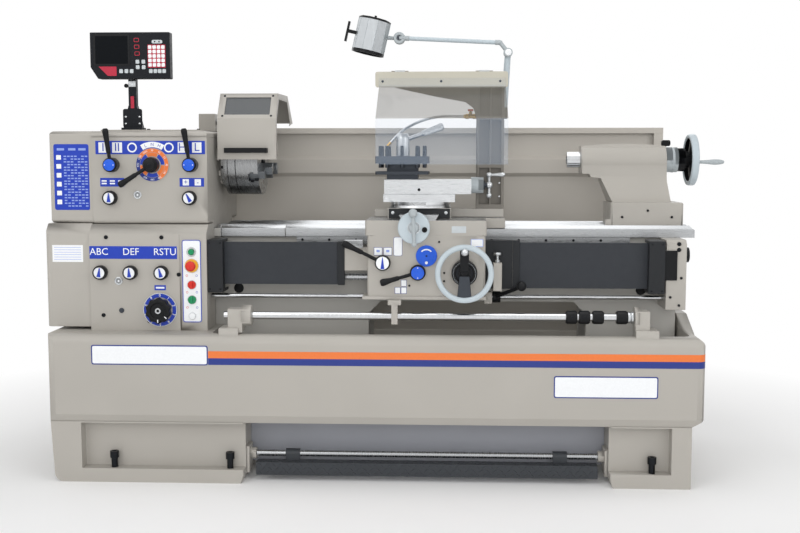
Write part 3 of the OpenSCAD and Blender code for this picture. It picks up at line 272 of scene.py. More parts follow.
@dataclass(frozen=True)
class Printed(Finish):
    """Ink on a thin plate under a clear lacquer."""

    def dress(self, bench: Bench) -> None:
        """Keeps the colour even, with a faint ink texture.

        Args:
            bench: Nodes of the material.
        """
        bench.fix(Specular_IOR_Level=0.3, Coat_Weight=0.08, Coat_Roughness=0.12)
        bench.colour(bench.noise(160.0), linear(self.colour, 0.94), linear(self.colour, 1.04))
        bench.rough(bench.noise(30.0), self.rough - 0.04, self.rough + 0.06)
        bench.bump(bench.noise(900.0), 0.05, 0.0001)


@dataclass(frozen=True)
class ClearSheet(Finish):
    """Clear or smoked plastic sheet that lets light straight through."""

    cover: float = 0.25

    def dress(self, bench: Bench) -> None:
        """Sets how much of the sheet shows, with faint wiping marks.

        Args:
            bench: Nodes of the material.
        """
        bench.fix(Alpha=self.cover, Specular_IOR_Level=0.7)
        bench.colour(bench.noise(9.0), linear(self.colour, 0.95), linear(self.colour, 1.03))
        bench.rough(bench.noise(14.0, 4.0, (1, 1, 4)), self.rough, self.rough + 0.07)
        bench.bump(bench.noise(7.0), 0.05, 0.001)


@dataclass(frozen=True)
class RollCloth(Finish):
    """Coated roller cloth with fine upright ribs."""

    def dress(self, bench: Bench) -> None:
        """Ribs the cloth and lets its tone drift along its length.

        Args:
            bench: Nodes of the material.
        """
        bench.fix(Specular_IOR_Level=0.35, Sheen_Weight=0.08)
        bench.colour(bench.noise(3.0, 3.0, (1, 1, 2)), linear(self.colour, 0.88), linear(self.colour, 1.12))
        bench.rough(bench.noise(60.0), self.rough - 0.05, self.rough + 0.08)
        bench.bump(bench.ribs(170.0), 0.12, 0.0003)


PAINT = Enamel("machine_paint", "paint", "#aeaaa3", 0.4)
CREAM = Enamel("guard_paint", "paint", "#bfbbad", 0.42)
# Splash guard: the machine paint made lighter, as painted light for the extra light that falls on the guard's wall.
SPLASH_PAINTED_LIGHT = Enamel("splash_guard_paint", "paint", "#bfbab2", 0.42)
# Guard post: the machine paint made darker, as painted shade for the shadow that falls on the post.
POST_PAINTED_SHADE = Enamel("post_paint", "paint", "#77736c", 0.42)
PANEL = Enamel("kick_panel_paint", "panel_paint", "#9a9ca3", 0.42)
DARK = Enamel("housing_paint", "dark_paint", "#1f2124", 0.45)
TREAD = Enamel("pedal_paint", "dark_paint", "#3a3d41", 0.4)
CASTING = Enamel("bed_paint", "casting", "#b3b1ac", 0.46, 0.3)
GREYPAINT = Enamel("dial_grey_paint", "wheel_rim", "#a9b0b3", 0.36)
RIM = Enamel("wheel_rim_paint", "wheel_rim", "#b9c4ca", 0.32)
GROUND = Metal("ground_steel_along", "ground_steel", "#c2c4c6", 0.3, mark=0.05)
BRIGHT = Metal("bright_steel", "ground_steel", "#e6e8ea", 0.3)
GROUND_Y = Metal("ground_steel_across", "ground_steel", "#bfc1c3", 0.3, (700.0, 30.0, 700.0), 0.05)
TURNED = Metal("turned_steel", "ground_steel", "#b9bbbd", 0.24, (900.0, 60.0, 60.0))
SILVER = Metal("satin_silver", "chrome", "#d2d5d7", 0.26, (900.0, 900.0, 900.0), 0.03)
CHROME = Metal("chrome_plate", "chrome", "#d6d8da", 0.13, (200.0, 60.0, 60.0), 0.03)
CHUCK = Metal("chuck_steel", "ground_steel", "#a2a3a4", 0.27, (900.0, 60.0, 60.0))
JAW = Metal("jaw_steel", "tool_steel", "#989ca0", 0.34, (90.0, 300.0, 300.0))
OXIDE = Metal("black_oxide", "tool_steel", "#4b4f55", 0.38, (90.0, 90.0, 400.0))
SCREW = Metal("screw_oxide", "tool_steel", "#2b2d30", 0.36, (300.0, 300.0, 300.0))
BRASS = Metal("brass", "chrome", "#d1a850", 0.26, (200.0, 200.0, 200.0), 0.04)
LAMP_SHELL = Metal("lamp_can_silver", "lamp_shell", "#ccd0d3", 0.36, (400.0, 400.0, 20.0), 0.08)
BLACK = Moulded("black_moulding", "black_plastic", "#151618", 0.34, 0.12, 0.0, 0.2)
CASE = Moulded("readout_case", "black_plastic", "#1b1d21", 0.46, 0.3)
SCREEN = Moulded("dark_screen", "black_plastic", "#0a0d11", 0.4, 0.0, 0.0, 0.08)
KEY = Moulded("grey_key", "black_plastic", "#c3c9cc", 0.42)
BLUE_CAP = Moulded("blue_cap", "black_plastic", "#2a5fd6", 0.3, 0.02, 0.3)
GREEN = Moulded("green_button", "green_plastic", "#1f8f5c", 0.3, 0.02, 0.4)
RED = Moulded("red_button", "red_plastic", "#d23328", 0.3, 0.02, 0.4)
GLASS = Moulded("sight_glass", "clear_sheet", "#8d9093", 0.1, 0.0, 0.6)
BLUE = Printed("plate_blue", "paint", "#2440b0", 0.32)
PALE_BLUE = Printed("plate_pale_blue", "paint", "#8fa3df", 0.34)
WHITE = Printed("plate_white", "paint", "#eef0f2", 0.34)
ORANGE = Printed("stripe_orange", "paint", "#e67a3e", 0.36)
NAVY = Printed("stripe_blue", "paint", "#2b3a84", 0.36)
YELLOW = Printed("ring_yellow", "red_plastic", "#efb73c", 0.36)
CRIMSON = Printed("readout_red", "red_plastic", "#b32a40", 0.36)
CLEAR = ClearSheet("clear_guard_sheet", "clear_sheet", "#b9cadf", 0.06, 0.11)
# Sloped part of the tool guard's clear sheet: a denser grey veil, as painted reflection of the sheet seen at a grazing
# angle.
CLEAR_SLOPE_PAINTED_REFLECTION = ClearSheet("clear_guard_slope", "clear_sheet", "#6f6c64", 0.08, 0.36)
SMOKE = ClearSheet("window_sheet", "clear_sheet", "#4b4f52", 0.1, 0.74)
CLOTH = RollCloth("roll_cloth", "roll_sheet", "#2d3035", 0.55)


def placed(name: str, data: bpy.types.ID) -> bpy.types.Object:
    """Makes an object that shows some data in the scene."""
    bpy.context.scene.collection.objects.link(made := bpy.data.objects.new(name, data))
    return made


class Machine:
    """The frame's datum: where the machine's millimetres lie in the row's metres."""

    to_row = ORIGIN
    nodes: dict[str, bpy.types.Object] = {}

    @classmethod
    def settle(cls, frame: dict) -> None:
        """Takes the datum from the base's left end and the spindle's axis.
        """
        cls.nodes = frame["nodes"]
        low, high = (Vector(corner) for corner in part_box("spindle"))
        origin = Vector((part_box("base")[0][0], (low.y + high.y) / 2, 0.0))
        cls.to_row = Matrix.Translation(origin) @ Matrix.Scale(1 / MM_PER_M, 4)


def front(x: float, y: float, z: float, turn: float = 0.0) -> Matrix:
    """Place whose own Z points at the operator, turned by degrees about it."""
    tilt = Matrix.Rotation(math.pi / 2, 4, "X") @ Matrix.Rotation(math.radians(turn), 4, "Z")
    return Matrix.Translation((x, y, z)) @ tilt


def along(x: float, y: float, z: float) -> Matrix:
    """Place whose own Z points to the tailstock, with its own Y up."""
    return Matrix(((0, 0, 1, x), (1, 0, 0, y), (0, 1, 0, z), (0, 0, 0, 1)))


def up(x: float, y: float, z: float, turn: float = 0.0) -> Matrix:
    """Place whose own Z points up, turned by degrees about it."""
    return Matrix.Translation((x, y, z)) @ Matrix.Rotation(math.radians(turn), 4, "Z")


def aim(start: Point, end: Point) -> Matrix:
    """Place at start whose own Z points at end."""
    run = Vector(end) - Vector(start)
    return Matrix.Translation(Vector(start)) @ run.to_track_quat("Z", "Y").to_matrix().to_4x4()


def fillet(points: Sequence[Pair], radius: float, steps: int = 3, closed: bool = False) -> list[Pair]:
    """Rounds the corners of a flat line.

    Args:
        points: The line's corners.
        radius: How far from a corner the round starts.
        steps: Chords in each round.
        closed: Whether the line ends where it starts.

    Returns:
        The rounded line.
    """
    out: list[Pair] = []
    for i, point in enumerate(points):
        if not closed and i in (0, len(points) - 1):
            out.append(tuple(point))
            continue
        before, here, after = Vector(points[i - 1]), Vector(point), Vector(points[(i + 1) % len(points)])
        reach = min(radius, (before - here).length * SHARE_OF_EDGE, (after - here).length * SHARE_OF_EDGE)
        start = here + (before - here).normalized() * reach
        end = here + (after - here).normalized() * reach
        for k in range(steps + 1):
            t = k / steps
            out.append(tuple(start * (1 - t) ** 2 + here * 2 * t * (1 - t) + end * t * t))
    return out


def rectangle(x0: float, x1: float, y0: float, y1: float, r: float = 0.0) -> list[Pair]:
    """Outline of a rectangle with rounded corners, anticlockwise."""
    corners = [(x0, y0), (x1, y0), (x1, y1), (x0, y1)]
    return fillet(corners, r * 1.4, 4, True) if r else corners


def arc(x: float, y: float, r: float, start: float, end: float, steps: int) -> list[Pair]:
    """Points along an arc between two angles in degrees."""
    turns = [math.radians(start + (end - start) * i / steps) for i in range(steps + 1)]
    return [(x + r * math.cos(a), y + r * math.sin(a)) for a in turns]


def inset(points: Sequence[Pair], depth: float) -> list[Pair]:
    """Moves a closed outline inwards.

    Args:
        points: The outline.
        depth: How far it moves.

    Returns:
        The moved outline, with as many points.
    """
    area = sum(a[0] * b[1] - b[0] * a[1] for a, b in zip(points, [*points[1:], points[0]]))
    side = math.copysign(1.0, area)
    out: list[Pair] = []
    for i, point in enumerate(points):
        here = Vector(point)
        into = (here - Vector(points[i - 1])).normalized()
        onward = (Vector(points[(i + 1) % len(points)]) - here).normalized()
        first, second = Vector((-into.y, into.x)), Vector((-onward.y, onward.x))
        out.append(tuple(here + (first + second) * (side * depth / max(0.4, 1 + first.dot(second)))))
    return out


class Shape:
    """Mesh of one piece, gathered from parts that each have a finish."""

    def __init__(self) -> None:
        """Starts an empty mesh."""
        self.bm = bmesh.new()
        self.finishes: list[Finish] = []

    def index(self, finish: Finish) -> int:
        """Number of a finish among the piece's own, which takes it in when it is new."""
        self.finishes = list(dict.fromkeys([*self.finishes, finish]))
        return self.finishes.index(finish)

    def loft(self, rings: Sequence[Sequence[Point]], finish: Finish, wrap: bool = False) -> None:
        """Joins rings of points into a closed skin.

        Args:
            rings: Rings of equal count, or of one point at a pole.
            finish: Finish of the skin.
            wrap: Whether the last ring joins the first, with no caps.
        """
        rows = [[self.bm.verts.new(p) for p in ring] for ring in rings]
        pairs = list(zip(rows, rows[1:])) + ([(rows[-1], rows[0])] if wrap else [])
        faces = []
        for low, high in pairs:
            count = max(len(low), len(high))
            for i in range(count):
                j = (i + 1) % count
                corners = (low[i % len(low)], low[j % len(low)], high[j % len(high)], high[i % len(high)])
                corners = list(dict.fromkeys(corners))
                if len(corners) > 2:
                    faces.append(self.bm.faces.new(corners))
        if not wrap:
            faces += [self.bm.faces.new(row) for row in (rows[0], rows[-1]) if len(row) > 2]
        index = self.index(finish)
        for face in faces:
            face.material_index = index
        bmesh.ops.recalc_face_normals(self.bm, faces=faces)

    def turn(self, place: Matrix, profile: Sequence[Pair], finish: Finish, steps: int = 48,
             flutes: tuple[int, float] = (0, 0.0), wrap: bool = False) -> None:
        """Revolves a profile about the place's own Z.

        Args:
            place: Where the axis stands.
            profile: Radius and height of each point.
            finish: Finish of the part.
            steps: Points round the axis.
            flutes: Count and depth of the hollows round the widest part.
            wrap: Whether the profile is a closed loop, as on a ring.
        """
        widest = max(r for r, _ in profile)
        rings = []
        for r, h in profile:
            if r < 1e-6:
                rings.append([place @ Vector((0, 0, h))])
                continue
            ring = []
            for i in range(steps):
                a = 2 * math.pi * i / steps
                cut = flutes[1] * (0.5 + 0.5 * math.cos(flutes[0] * a)) if r > 0.8 * widest else 0.0
                ring.append(place @ Vector(((r - cut) * math.cos(a), (r - cut) * math.sin(a), h)))
            rings.append(ring)
        self.loft(rings, finish, wrap)

    def disc(self, place: Matrix, r: float, t: float, finish: Finish, edge: float = 0.6, base: float = 0.0) -> None:
        """Round disc with a softened rim, from base to base + t along the place's own Z."""
        self.turn(place, [(0, base), (r, base), (r, base + t - edge), (r - edge, base + t), (0, base + t)], finish)

    def ring(self, place: Matrix, r0: float, r1: float, t: float, finish: Finish, edge: float = 0.6) -> None:
        """Flat ring between two radii with softened rims."""
        self.turn(place, [(r0, 0), (r1, 0), (r1, t - edge), (r1 - edge, t), (r0 + edge, t), (r0, t - edge)],
                  finish, 64, wrap=True)

    def ball(self, centre: Point, r: float, finish: Finish) -> None:
        """Round ball."""
        side = [(r * math.sin(math.pi * i / 16), -r * math.cos(math.pi * i / 16)) for i in range(1, 16)]
        self.turn(up(*centre), [(0, -r), *side, (0, r)], finish, 32)

    def rod(self, start: Point, end: Point, radii: Sequence[Pair], finish: Finish, soft: float = 3.0) -> None:
        """Turned bar between two points.

        Args:
            start: First end of the axis.
            end: Second end of the axis.
            radii: Share of the length and radius of each step.
            finish: Finish of the bar.
            soft: How far its corners are rounded.
        """
        length = (Vector(end) - Vector(start)).length
        line = [(0, 0), *((r, t * length) for t, r in radii), (0, length)]
        self.turn(aim(start, end), fillet(line, soft), finish, 40)

    def slab(self, place: Matrix, outline: Sequence[Pair], t: float, finish: Finish, edge: float = 0.3,
             base: float = 0.0) -> None:
        """Plate of any outline, with a softened face edge, along the place's own Z."""
        levels = [(outline, base), (outline, base + t - edge), (inset(outline, edge), base + t)]
        self.loft([[place @ Vector((x, y, h)) for x, y in line] for line, h in levels], finish)

    def plate(self, xs: Pair, zs: Pair, y: float, finish: Finish, r: float = 3.0, t: float = 0.8,
              border: Finish | None = None, rim: float = 3.0) -> None:
        """Thin plate on a face that looks at the operator.

        Args:
            xs: Its two ends along X.
            zs: Its two ends along Z.
            y: Where the carrying face lies.
            finish: Finish of its face.
            r: Corner radius.
            t: How far it stands proud.
            border: Finish of a border round it, if it has one.
            rim: Width of that border.
        """
        place = front(0, y + 0.3, 0)
        if border:
            self.slab(place, rectangle(*xs, *zs, r), t + 0.3, border)
            xs, zs, t = (xs[0] + rim, xs[1] - rim), (zs[0] + rim, zs[1] - rim), t + 0.3
        self.slab(place, rectangle(*xs, *zs, max(1.0, r - rim / 2)), t + 0.3, finish)

    def sector(self, place: Matrix, r: Pair, angles: Pair, t: float, finish: Finish) -> None:
        """Part of a flat ring.

        Args:
            place: Where the ring's axis stands.
            r: Inner and outer radius.
            angles: First and last angle in degrees.
            t: Its thickness.
            finish: Its finish.
        """
        steps = max(4, int(abs(angles[1] - angles[0]) / 6))
        outline = arc(0, 0, r[1], *angles, steps) + arc(0, 0, r[0], angles[1], angles[0], steps)
        self.slab(place, outline, t, finish, 0.2)

    def block(self, xs: Pair, ys: Pair, zs: Pair, finish: Finish, edge: float = 1.0, place: Matrix = ORIGIN) -> None:
        """Box with rounded edges.

        Args:
            xs: Its ends along X.
            ys: Its ends along Y.
            zs: Its ends along Z.
            finish: Finish of the box.
            edge: Radius of its edges.
            place: Where it stands, if not at the datum.
        """
        part = bmesh.new()
        bmesh.ops.create_cube(part, size=1.0)
        size = Matrix.Diagonal((xs[1] - xs[0], ys[1] - ys[0], zs[1] - zs[0], 1.0))
        middle = Matrix.Translation((sum(xs) / 2, sum(ys) / 2, sum(zs) / 2))
        part.transform(middle @ size)
        bmesh.ops.bevel(part, geom=part.edges[:], offset=edge, segments=2, affect="EDGES", profile=0.6)
        part.transform(place)
        self.take(part, finish)

    def ribbon(self, path: Sequence[Pair], zs: Pair, t: float, finish: Finish) -> None:
        """Upright band laid along a path in plan, on the path's right-hand side.

        Args:
            path: X and Y of each point.
            zs: Its two ends along Z.
            t: Its thickness.
            finish: Its finish.
        """
        rings = []
        for i, point in enumerate(path):
            run = (Vector(path[min(i + 1, len(path) - 1)]) - Vector(path[max(i - 1, 0)])).normalized()
            out = Vector((run.y, -run.x))
            inner, outer = Vector(point) - out * 0.3, Vector(point) + out * t
            rings.append([(*inner, zs[0]), (*outer, zs[0]), (*outer, zs[1]), (*inner, zs[1])])
        self.loft(rings, finish)

    def tube(self, path: Sequence[Point], r: float, finish: Finish, steps: int = 14) -> None:
        """Round tube along a smooth line.

        Args:
            path: Points that the line runs through.
            r: Its radius.
            finish: Its finish.
            steps: Points round it.
        """
        points = [Vector(p) for p in path]
        ends = [points[0] * 2 - points[1], *points, points[-1] * 2 - points[-2]]
        line = []
        for a, b, c, d in zip(ends, ends[1:], ends[2:], ends[3:]):
            for k in range(8):
                t = k / 8
                line.append(0.5 * (2 * b + (c - a) * t + (2 * a - 5 * b + 4 * c - d) * t * t
                                   + (3 * b - a - 3 * c + d) * t ** 3))
        line.append(points[-1])
        side = Vector((0, 0, 1))
        rings = []
        for i, point in enumerate(line):
            run = (line[min(i + 1, len(line) - 1)] - line[max(i - 1, 0)]).normalized()
            side = (side - run * side.dot(run)).normalized()
            other = run.cross(side)
            turns = [2 * math.pi * k / steps for k in range(steps)]
            rings.append([point + (side * math.cos(a) + other * math.sin(a)) * r for a in turns])
        self.loft(rings, finish)

    def letters(self, words: str, place: Matrix, size: float, finish: Finish, t: float = 0.3) -> None:
        """Flat raised characters, centred on a place.

        Args:
            words: The characters.
            place: Where they stand.
            size: Their height.
            finish: Their finish.
            t: How far they are raised.
        """
        curve = bpy.data.curves.new("characters", "FONT")
        curve.body, curve.size, curve.extrude, curve.resolution_u = words, size, t / 2, 3
        curve.align_x, curve.align_y = "CENTER", "CENTER"
        holder = bpy.data.objects.new("characters", curve)
        mesh = bpy.data.meshes.new_from_object(holder)
        part = bmesh.new()
        part.from_mesh(mesh)
        part.transform(place)
        bmesh.ops.remove_doubles(part, verts=part.verts[:], dist=0.001)
        self.take(part, finish)
        bpy.data.objects.remove(holder)
        bpy.data.meshes.remove(mesh)
        bpy.data.curves.remove(curve)

    def letters_round(self, words: str, dial: Pair, y: float, r: float, angle: float, size: float,
                      finish: Finish) -> None:
        """Characters that stand on a circle about a dial's X and Z, upright at 90 degrees."""
        a = math.radians(angle)
        self.letters(words, front(dial[0] + r * math.cos(a), y, dial[1] + r * math.sin(a), angle - 90), size, finish)

    def take(self, part: bmesh.types.BMesh, finish: Finish, choose: Chooser | None = None) -> None:
        """Adds another mesh to the piece.

        Args:
            part: The mesh, used up here.
            finish: Its usual finish.
            choose: Finish of a face by its middle and normal, if it differs.
        """
        usual = self.index(finish)
        part.normal_update()
        for face in part.faces:
            chosen = choose and choose(face.calc_center_median(), face.normal)
            face.material_index = self.index(chosen) if chosen else usual
        mesh = bpy.data.meshes.new("part")
        part.to_mesh(mesh)
        part.free()
        self.bm.from_mesh(mesh)
        bpy.data.meshes.remove(mesh)

    def skin(self, node: str, finish: Finish, edge: float = 1.0, choose: Chooser | None = None) -> None:
        """Takes a copy of a node's solid and rounds its edges.

        Args:
            node: The node's name.
            finish: Finish of its faces.
            edge: Radius of its edges, or 0 to keep them sharp.
            choose: Finish of a face by its middle and normal, if it differs.
        """
        part = bmesh.new()
        part.from_mesh(Machine.nodes[node].data)
        part.transform(Machine.to_row.inverted())
        bmesh.ops.remove_doubles(part, verts=part.verts[:], dist=0.01)
        bmesh.ops.dissolve_limit(part, angle_limit=math.radians(0.5), verts=part.verts[:], edges=part.edges[:],
                                 use_dissolve_boundaries=False)
        if edge:
            part = round_edges(part, edge)
        self.take(part, finish, choose)

    def object(self, name: str) -> bpy.types.Object:
        """Makes the piece's object in the row frame.

        Args:
            name: The piece's name.

        Returns:
            The object.
        """
        mesh = bpy.data.meshes.new(name)
        self.bm.transform(Machine.to_row)
        self.bm.to_mesh(mesh)
        self.bm.free()
        for finish in self.finishes:
            mesh.materials.append(finish.material())
        mesh.shade_smooth()
        mesh.set_sharp_from_angle(angle=SHARP_ANGLE)
        piece = placed(name, mesh)
        shading = piece.modifiers.new("even_shading", "WEIGHTED_NORMAL")
        shading.keep_sharp = True
        return piece

    def settle(self, name: str, body: str, node: str) -> None:
        """Puts the piece on its body in place of the node that it stands for.

        Args:
            name: The piece's name.
            body: Body that it rides on.
            node: Node that it replaces.
        """
        piece = self.object(name)
        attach(piece, body)
        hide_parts(node)
        LOG.info("%s rides on %s", name, body)

    def settle_as(self, node: str) -> None:
        """Settles the piece on the body of a node's own name, in place of that node."""
        self.settle(f"{node}_dressed", node, node)


def dress(name: str, body: str, node: str, finish: Finish, edge: float = 1.0, choose: Chooser | None = None) -> None:
    """Settles a node's rounded solid as a piece of its own.

    Args:
        name: The piece's name.
        body: Body that it rides on.
        node: Node that it is taken from and replaces.
        finish: Finish of its faces.
        edge: Radius of its edges, or 0 to keep them sharp.
        choose: Finish of a face by its middle and normal, if it differs.
    """
    shape = Shape()
    shape.skin(node, finish, edge, choose)
    shape.settle(name, body, node)


def room_across(face: bmesh.types.BMFace, edge: bmesh.types.BMEdge) -> float:
    """Shortest way across a face from one of its edges, measured at three places.

    Args:
        face: Flat face.
        edge: One of its edges.

    Returns:
        The distance, or 0 where the edge has no loop on the face.
    """
    loop = next((item for item in edge.link_loops if item.face is face), None)
    if loop is None or edge.calc_length() < 1e-4:
        return 0.0
    start, end = loop.vert.co, loop.link_loop_next.vert.co
    run = (end - start).normalized()
    inward = face.normal.cross(run)
    best = 1e6
    for share in ACROSS_AT:
        origin = start.lerp(end, share)
        for other in face.edges:
            if other is edge:
                continue
            a, b = (vert.co - origin for vert in other.verts)
            ax, bx = a.dot(run), b.dot(run)
            if (ax < 0) != (bx < 0):
                depth = a.dot(inward) + (b.dot(inward) - a.dot(inward)) * ax / (ax - bx)
                if depth > 1e-3:
                    best = min(best, depth)
    return best


def fits(edge: bmesh.types.BMEdge, chosen: set[bmesh.types.BMEdge], radius: float) -> bool:
    """Says whether the round of an edge can end on the edges beside it.

    Args:
        edge: The edge to round.
        chosen: All edges to round.
        radius: Radius of the round.

    Returns:
        Whether each edge beside it is long enough and stands steeply enough.
    """
    faces = set(edge.link_faces)
    for vert in edge.verts:
        run = edge.other_vert(vert).co - vert.co
        for other in vert.link_edges:
            if other is edge or not faces & set(other.link_faces):
                continue
            angle = run.angle(other.other_vert(vert).co - vert.co, 0.0)
            if other in chosen:
                reach = radius / max(1e-3, math.tan(angle / 2))
                if reach > SHARE_OF_EDGE * min(edge.calc_length(), other.calc_length()) and angle < NEARLY_STRAIGHT:
                    return False
            elif radius / max(1e-3, math.sin(angle)) > SHARE_OF_EDGE * other.calc_length():
                return False
    return True


def folds(part: bmesh.types.BMesh) -> list[Vector]:
    """Finds the corners of triangles that turn over inside a face.

    Args:
        part: Mesh in millimetres.

    Returns:
        The corners.
    """
    part.normal_update()
    spots = []
    for loops in part.calc_loop_triangles():
        a, b, c = (loop.vert.co.copy() for loop in loops)
        if (b - a).cross(c - a).dot(loops[0].face.normal) < -1.0:
            spots += [a, b, c]
    return spots


def round_edges(part: bmesh.types.BMesh, radius: float) -> bmesh.types.BMesh:
    """Rounds the mesh's sharp edges where the faces beside them have room.

    Args:
        part: Mesh in millimetres, used up here.
        radius: Radius of the round.

    Returns:
        The rounded mesh, with no face folded over by a round.
    """
    part.normal_update()
    part.edges.index_update()
    sharp = [e for e in part.edges if len(e.link_faces) == 2 and e.calc_face_angle(0.0) > ROUNDED_ABOVE]
    chosen = {e for e in sharp if all(room_across(face, e) > ROOM_PER_RADIUS * radius for face in e.link_faces)}
    while True:
        poor = {e for e in chosen if not fits(e, chosen, radius)}
        if not poor:
            trial = part.copy()
            trial.edges.ensure_lookup_table()
            bmesh.ops.bevel(trial, geom=[trial.edges[i] for i in sorted(e.index for e in chosen)], offset=radius,
                            segments=2, affect="EDGES", profile=0.5, clamp_overlap=False)
            spots = folds(trial)
            near = FOLD_REACH * radius
            poor = {e for e in chosen if any((v.co - s).length < near for v in e.verts for s in spots)}
            if not poor:
                part.free()
                return trial
            trial.free()
        chosen -= poor


class GrownShape:
    """Geometry node tree with named inputs, whose result is made real and coloured at its end."""

    ends = {"inputs": "NodeGroupInput", "outputs": "NodeGroupOutput", "real": "GeometryNodeRealizeInstances",
            "finish": "GeometryNodeSetMaterial"}

    def __init__(self, name: str, inputs: dict[str, str], kinds: dict[str, str]) -> None:
        """Makes the tree's sockets and nodes and joins its end.

        Args:
            name: The tree's name.
            inputs: Kind of each named input besides its finish.
            kinds: Type of each node besides those of its ends.
        """
        self.tree = bpy.data.node_groups.new(name, "GeometryNodeTree")
        for title, kind in {**inputs, "Finish": "Material"}.items():
            self.tree.interface.new_socket(title, in_out="INPUT", socket_type=f"NodeSocket{kind}")
        self.tree.interface.new_socket("Result", in_out="OUTPUT", socket_type="NodeSocketGeometry")
        self.nodes = {title: self.tree.nodes.new(kind) for title, kind in {**self.ends, **kinds}.items()}
        self.join(("real", "Geometry", "finish", "Geometry"), ("inputs", "Finish", "finish", "Material"),
                  ("finish", "Geometry", "outputs", "Result"))

    def join(self, *links: Link) -> None:
        """Joins nodes, each link given as source, its output, target and its input."""
        for source, out, target, into in links:
            self.tree.links.new(self.nodes[source].outputs[out], self.nodes[target].inputs[into])

    def run(self, piece: bpy.types.Object, values: dict[str, object]) -> bpy.types.Mesh:
        """Grows the shape on a piece and leaves it there as a plain mesh.

        Args:
            piece: Object that carries what the tree starts from.
            values: Value of each named input.

        Returns:
            The plain mesh.
        """
        sockets = {item.name: item.identifier for item in self.tree.interface.items_tree if item.in_out == "INPUT"}
        modifier = piece.modifiers.new("grown", "NODES")
        modifier.node_group = self.tree
        for name, value in values.items():
            modifier[sockets[name]] = value
        ready = piece.evaluated_get(bpy.context.evaluated_depsgraph_get())
        start, piece.data = piece.data, bpy.data.meshes.new_from_object(ready)
        piece.modifiers.remove(modifier)
        bpy.data.meshes.remove(start)
        piece.data.name = piece.name
        piece.data.shade_smooth()
        return piece.data


class Scatter:
    """Copies of one small shape, set on places by a node tree."""

    tree: GrownShape | None = None

    def __init__(self, finish: Finish) -> None:
        """Keeps the finish that all copies share."""
        self.finish = finish

    @classmethod
    def grow(cls) -> GrownShape:
        """Builds the tree once: copies on points, turned by an attribute.

        Returns:
            The tree.
        """
        if cls.tree is None:
            cls.tree = GrownShape(
                "copies_on_points", {"Points": "Geometry", "Copied shape": "Object", "Size": "Float"},
                {"shape": "GeometryNodeObjectInfo", "turn": "GeometryNodeInputNamedAttribute",
                 "euler": "FunctionNodeEulerToRotation", "copies": "GeometryNodeInstanceOnPoints"})
            cls.tree.nodes["turn"].data_type = "FLOAT_VECTOR"
            cls.tree.nodes["turn"].inputs["Name"].default_value = "turn"
            cls.tree.join(("inputs", "Points", "copies", "Points"), ("inputs", "Copied shape", "shape", "Object"),
                          ("shape", "Geometry", "copies", "Instance"), ("turn", "Attribute", "euler", "Euler"),
                          ("euler", "Rotation", "copies", "Rotation"), ("inputs", "Size", "copies", "Scale"),
                          ("copies", "Instances", "real", "Geometry"))
        return cls.tree

    def settle(self, name: str, body: str, shape: Shape, places: Sequence[Matrix]) -> None:
        """Sets copies of a shape on places and puts them on a body.

        Args:
            name: Name of the piece that holds all copies.
            body: Body that it rides on.
            shape: The copied shape, in millimetres about its own origin.
            places: Where each copy stands.
        """
        mesh = bpy.data.meshes.new(name)
        mesh.from_pydata([Machine.to_row @ place.translation for place in places], [], [])
        turns = mesh.attributes.new("turn", "FLOAT_VECTOR", "POINT")
        turns.data.foreach_set("vector", [a for place in places for a in place.to_euler()])
        piece = placed(name, mesh)
        pattern = bpy.data.meshes.new("pattern")
        shape.bm.to_mesh(pattern)
        shape.bm.free()
        holder = placed("pattern", pattern)
        values = {"Copied shape": holder, "Size": 1 / MM_PER_M, "Finish": self.finish.material()}
        self.grow().run(piece, values).set_sharp_from_angle(angle=COPY_SHARP_ANGLE)
        bpy.data.objects.remove(holder)
        bpy.data.meshes.remove(pattern)
        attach(piece, body)
        LOG.info("%s: %d copies ride on %s", name, len(places), body)


def screw_head(line: Sequence[Pair], steps: int) -> Shape:
    """Screw head revolved from its profile, standing on its origin."""
    (head := Shape()).turn(ORIGIN, line, SCREW, steps)
    return head


def socket_screw(r: float = 6.0) -> Shape:
    """Cap screw head with a sunk socket."""
    return screw_head([(0, -0.5), (r, -0.5), (r, 2.6), (r - 0.7, 3.4), (r * 0.62, 3.4), (r * 0.5, 1.0), (0, 0.8)], 24)


def pan_screw(r: float = 4.0) -> Shape:
    """Low round screw head."""
    return screw_head([(0, -0.5), (r, -0.5), (r, 0.6), (r * 0.7, 1.6), (r * 0.3, 2.0), (0, 1.4)], 20)


class Pointer(Enum):
    """What the face of a control carries."""

    CAP_ACROSS = "two dots side by side"
    CAP_UPRIGHT = "two dots one above the other"
    WEDGE = "wedge on a white face"
    PLAIN = "nothing"


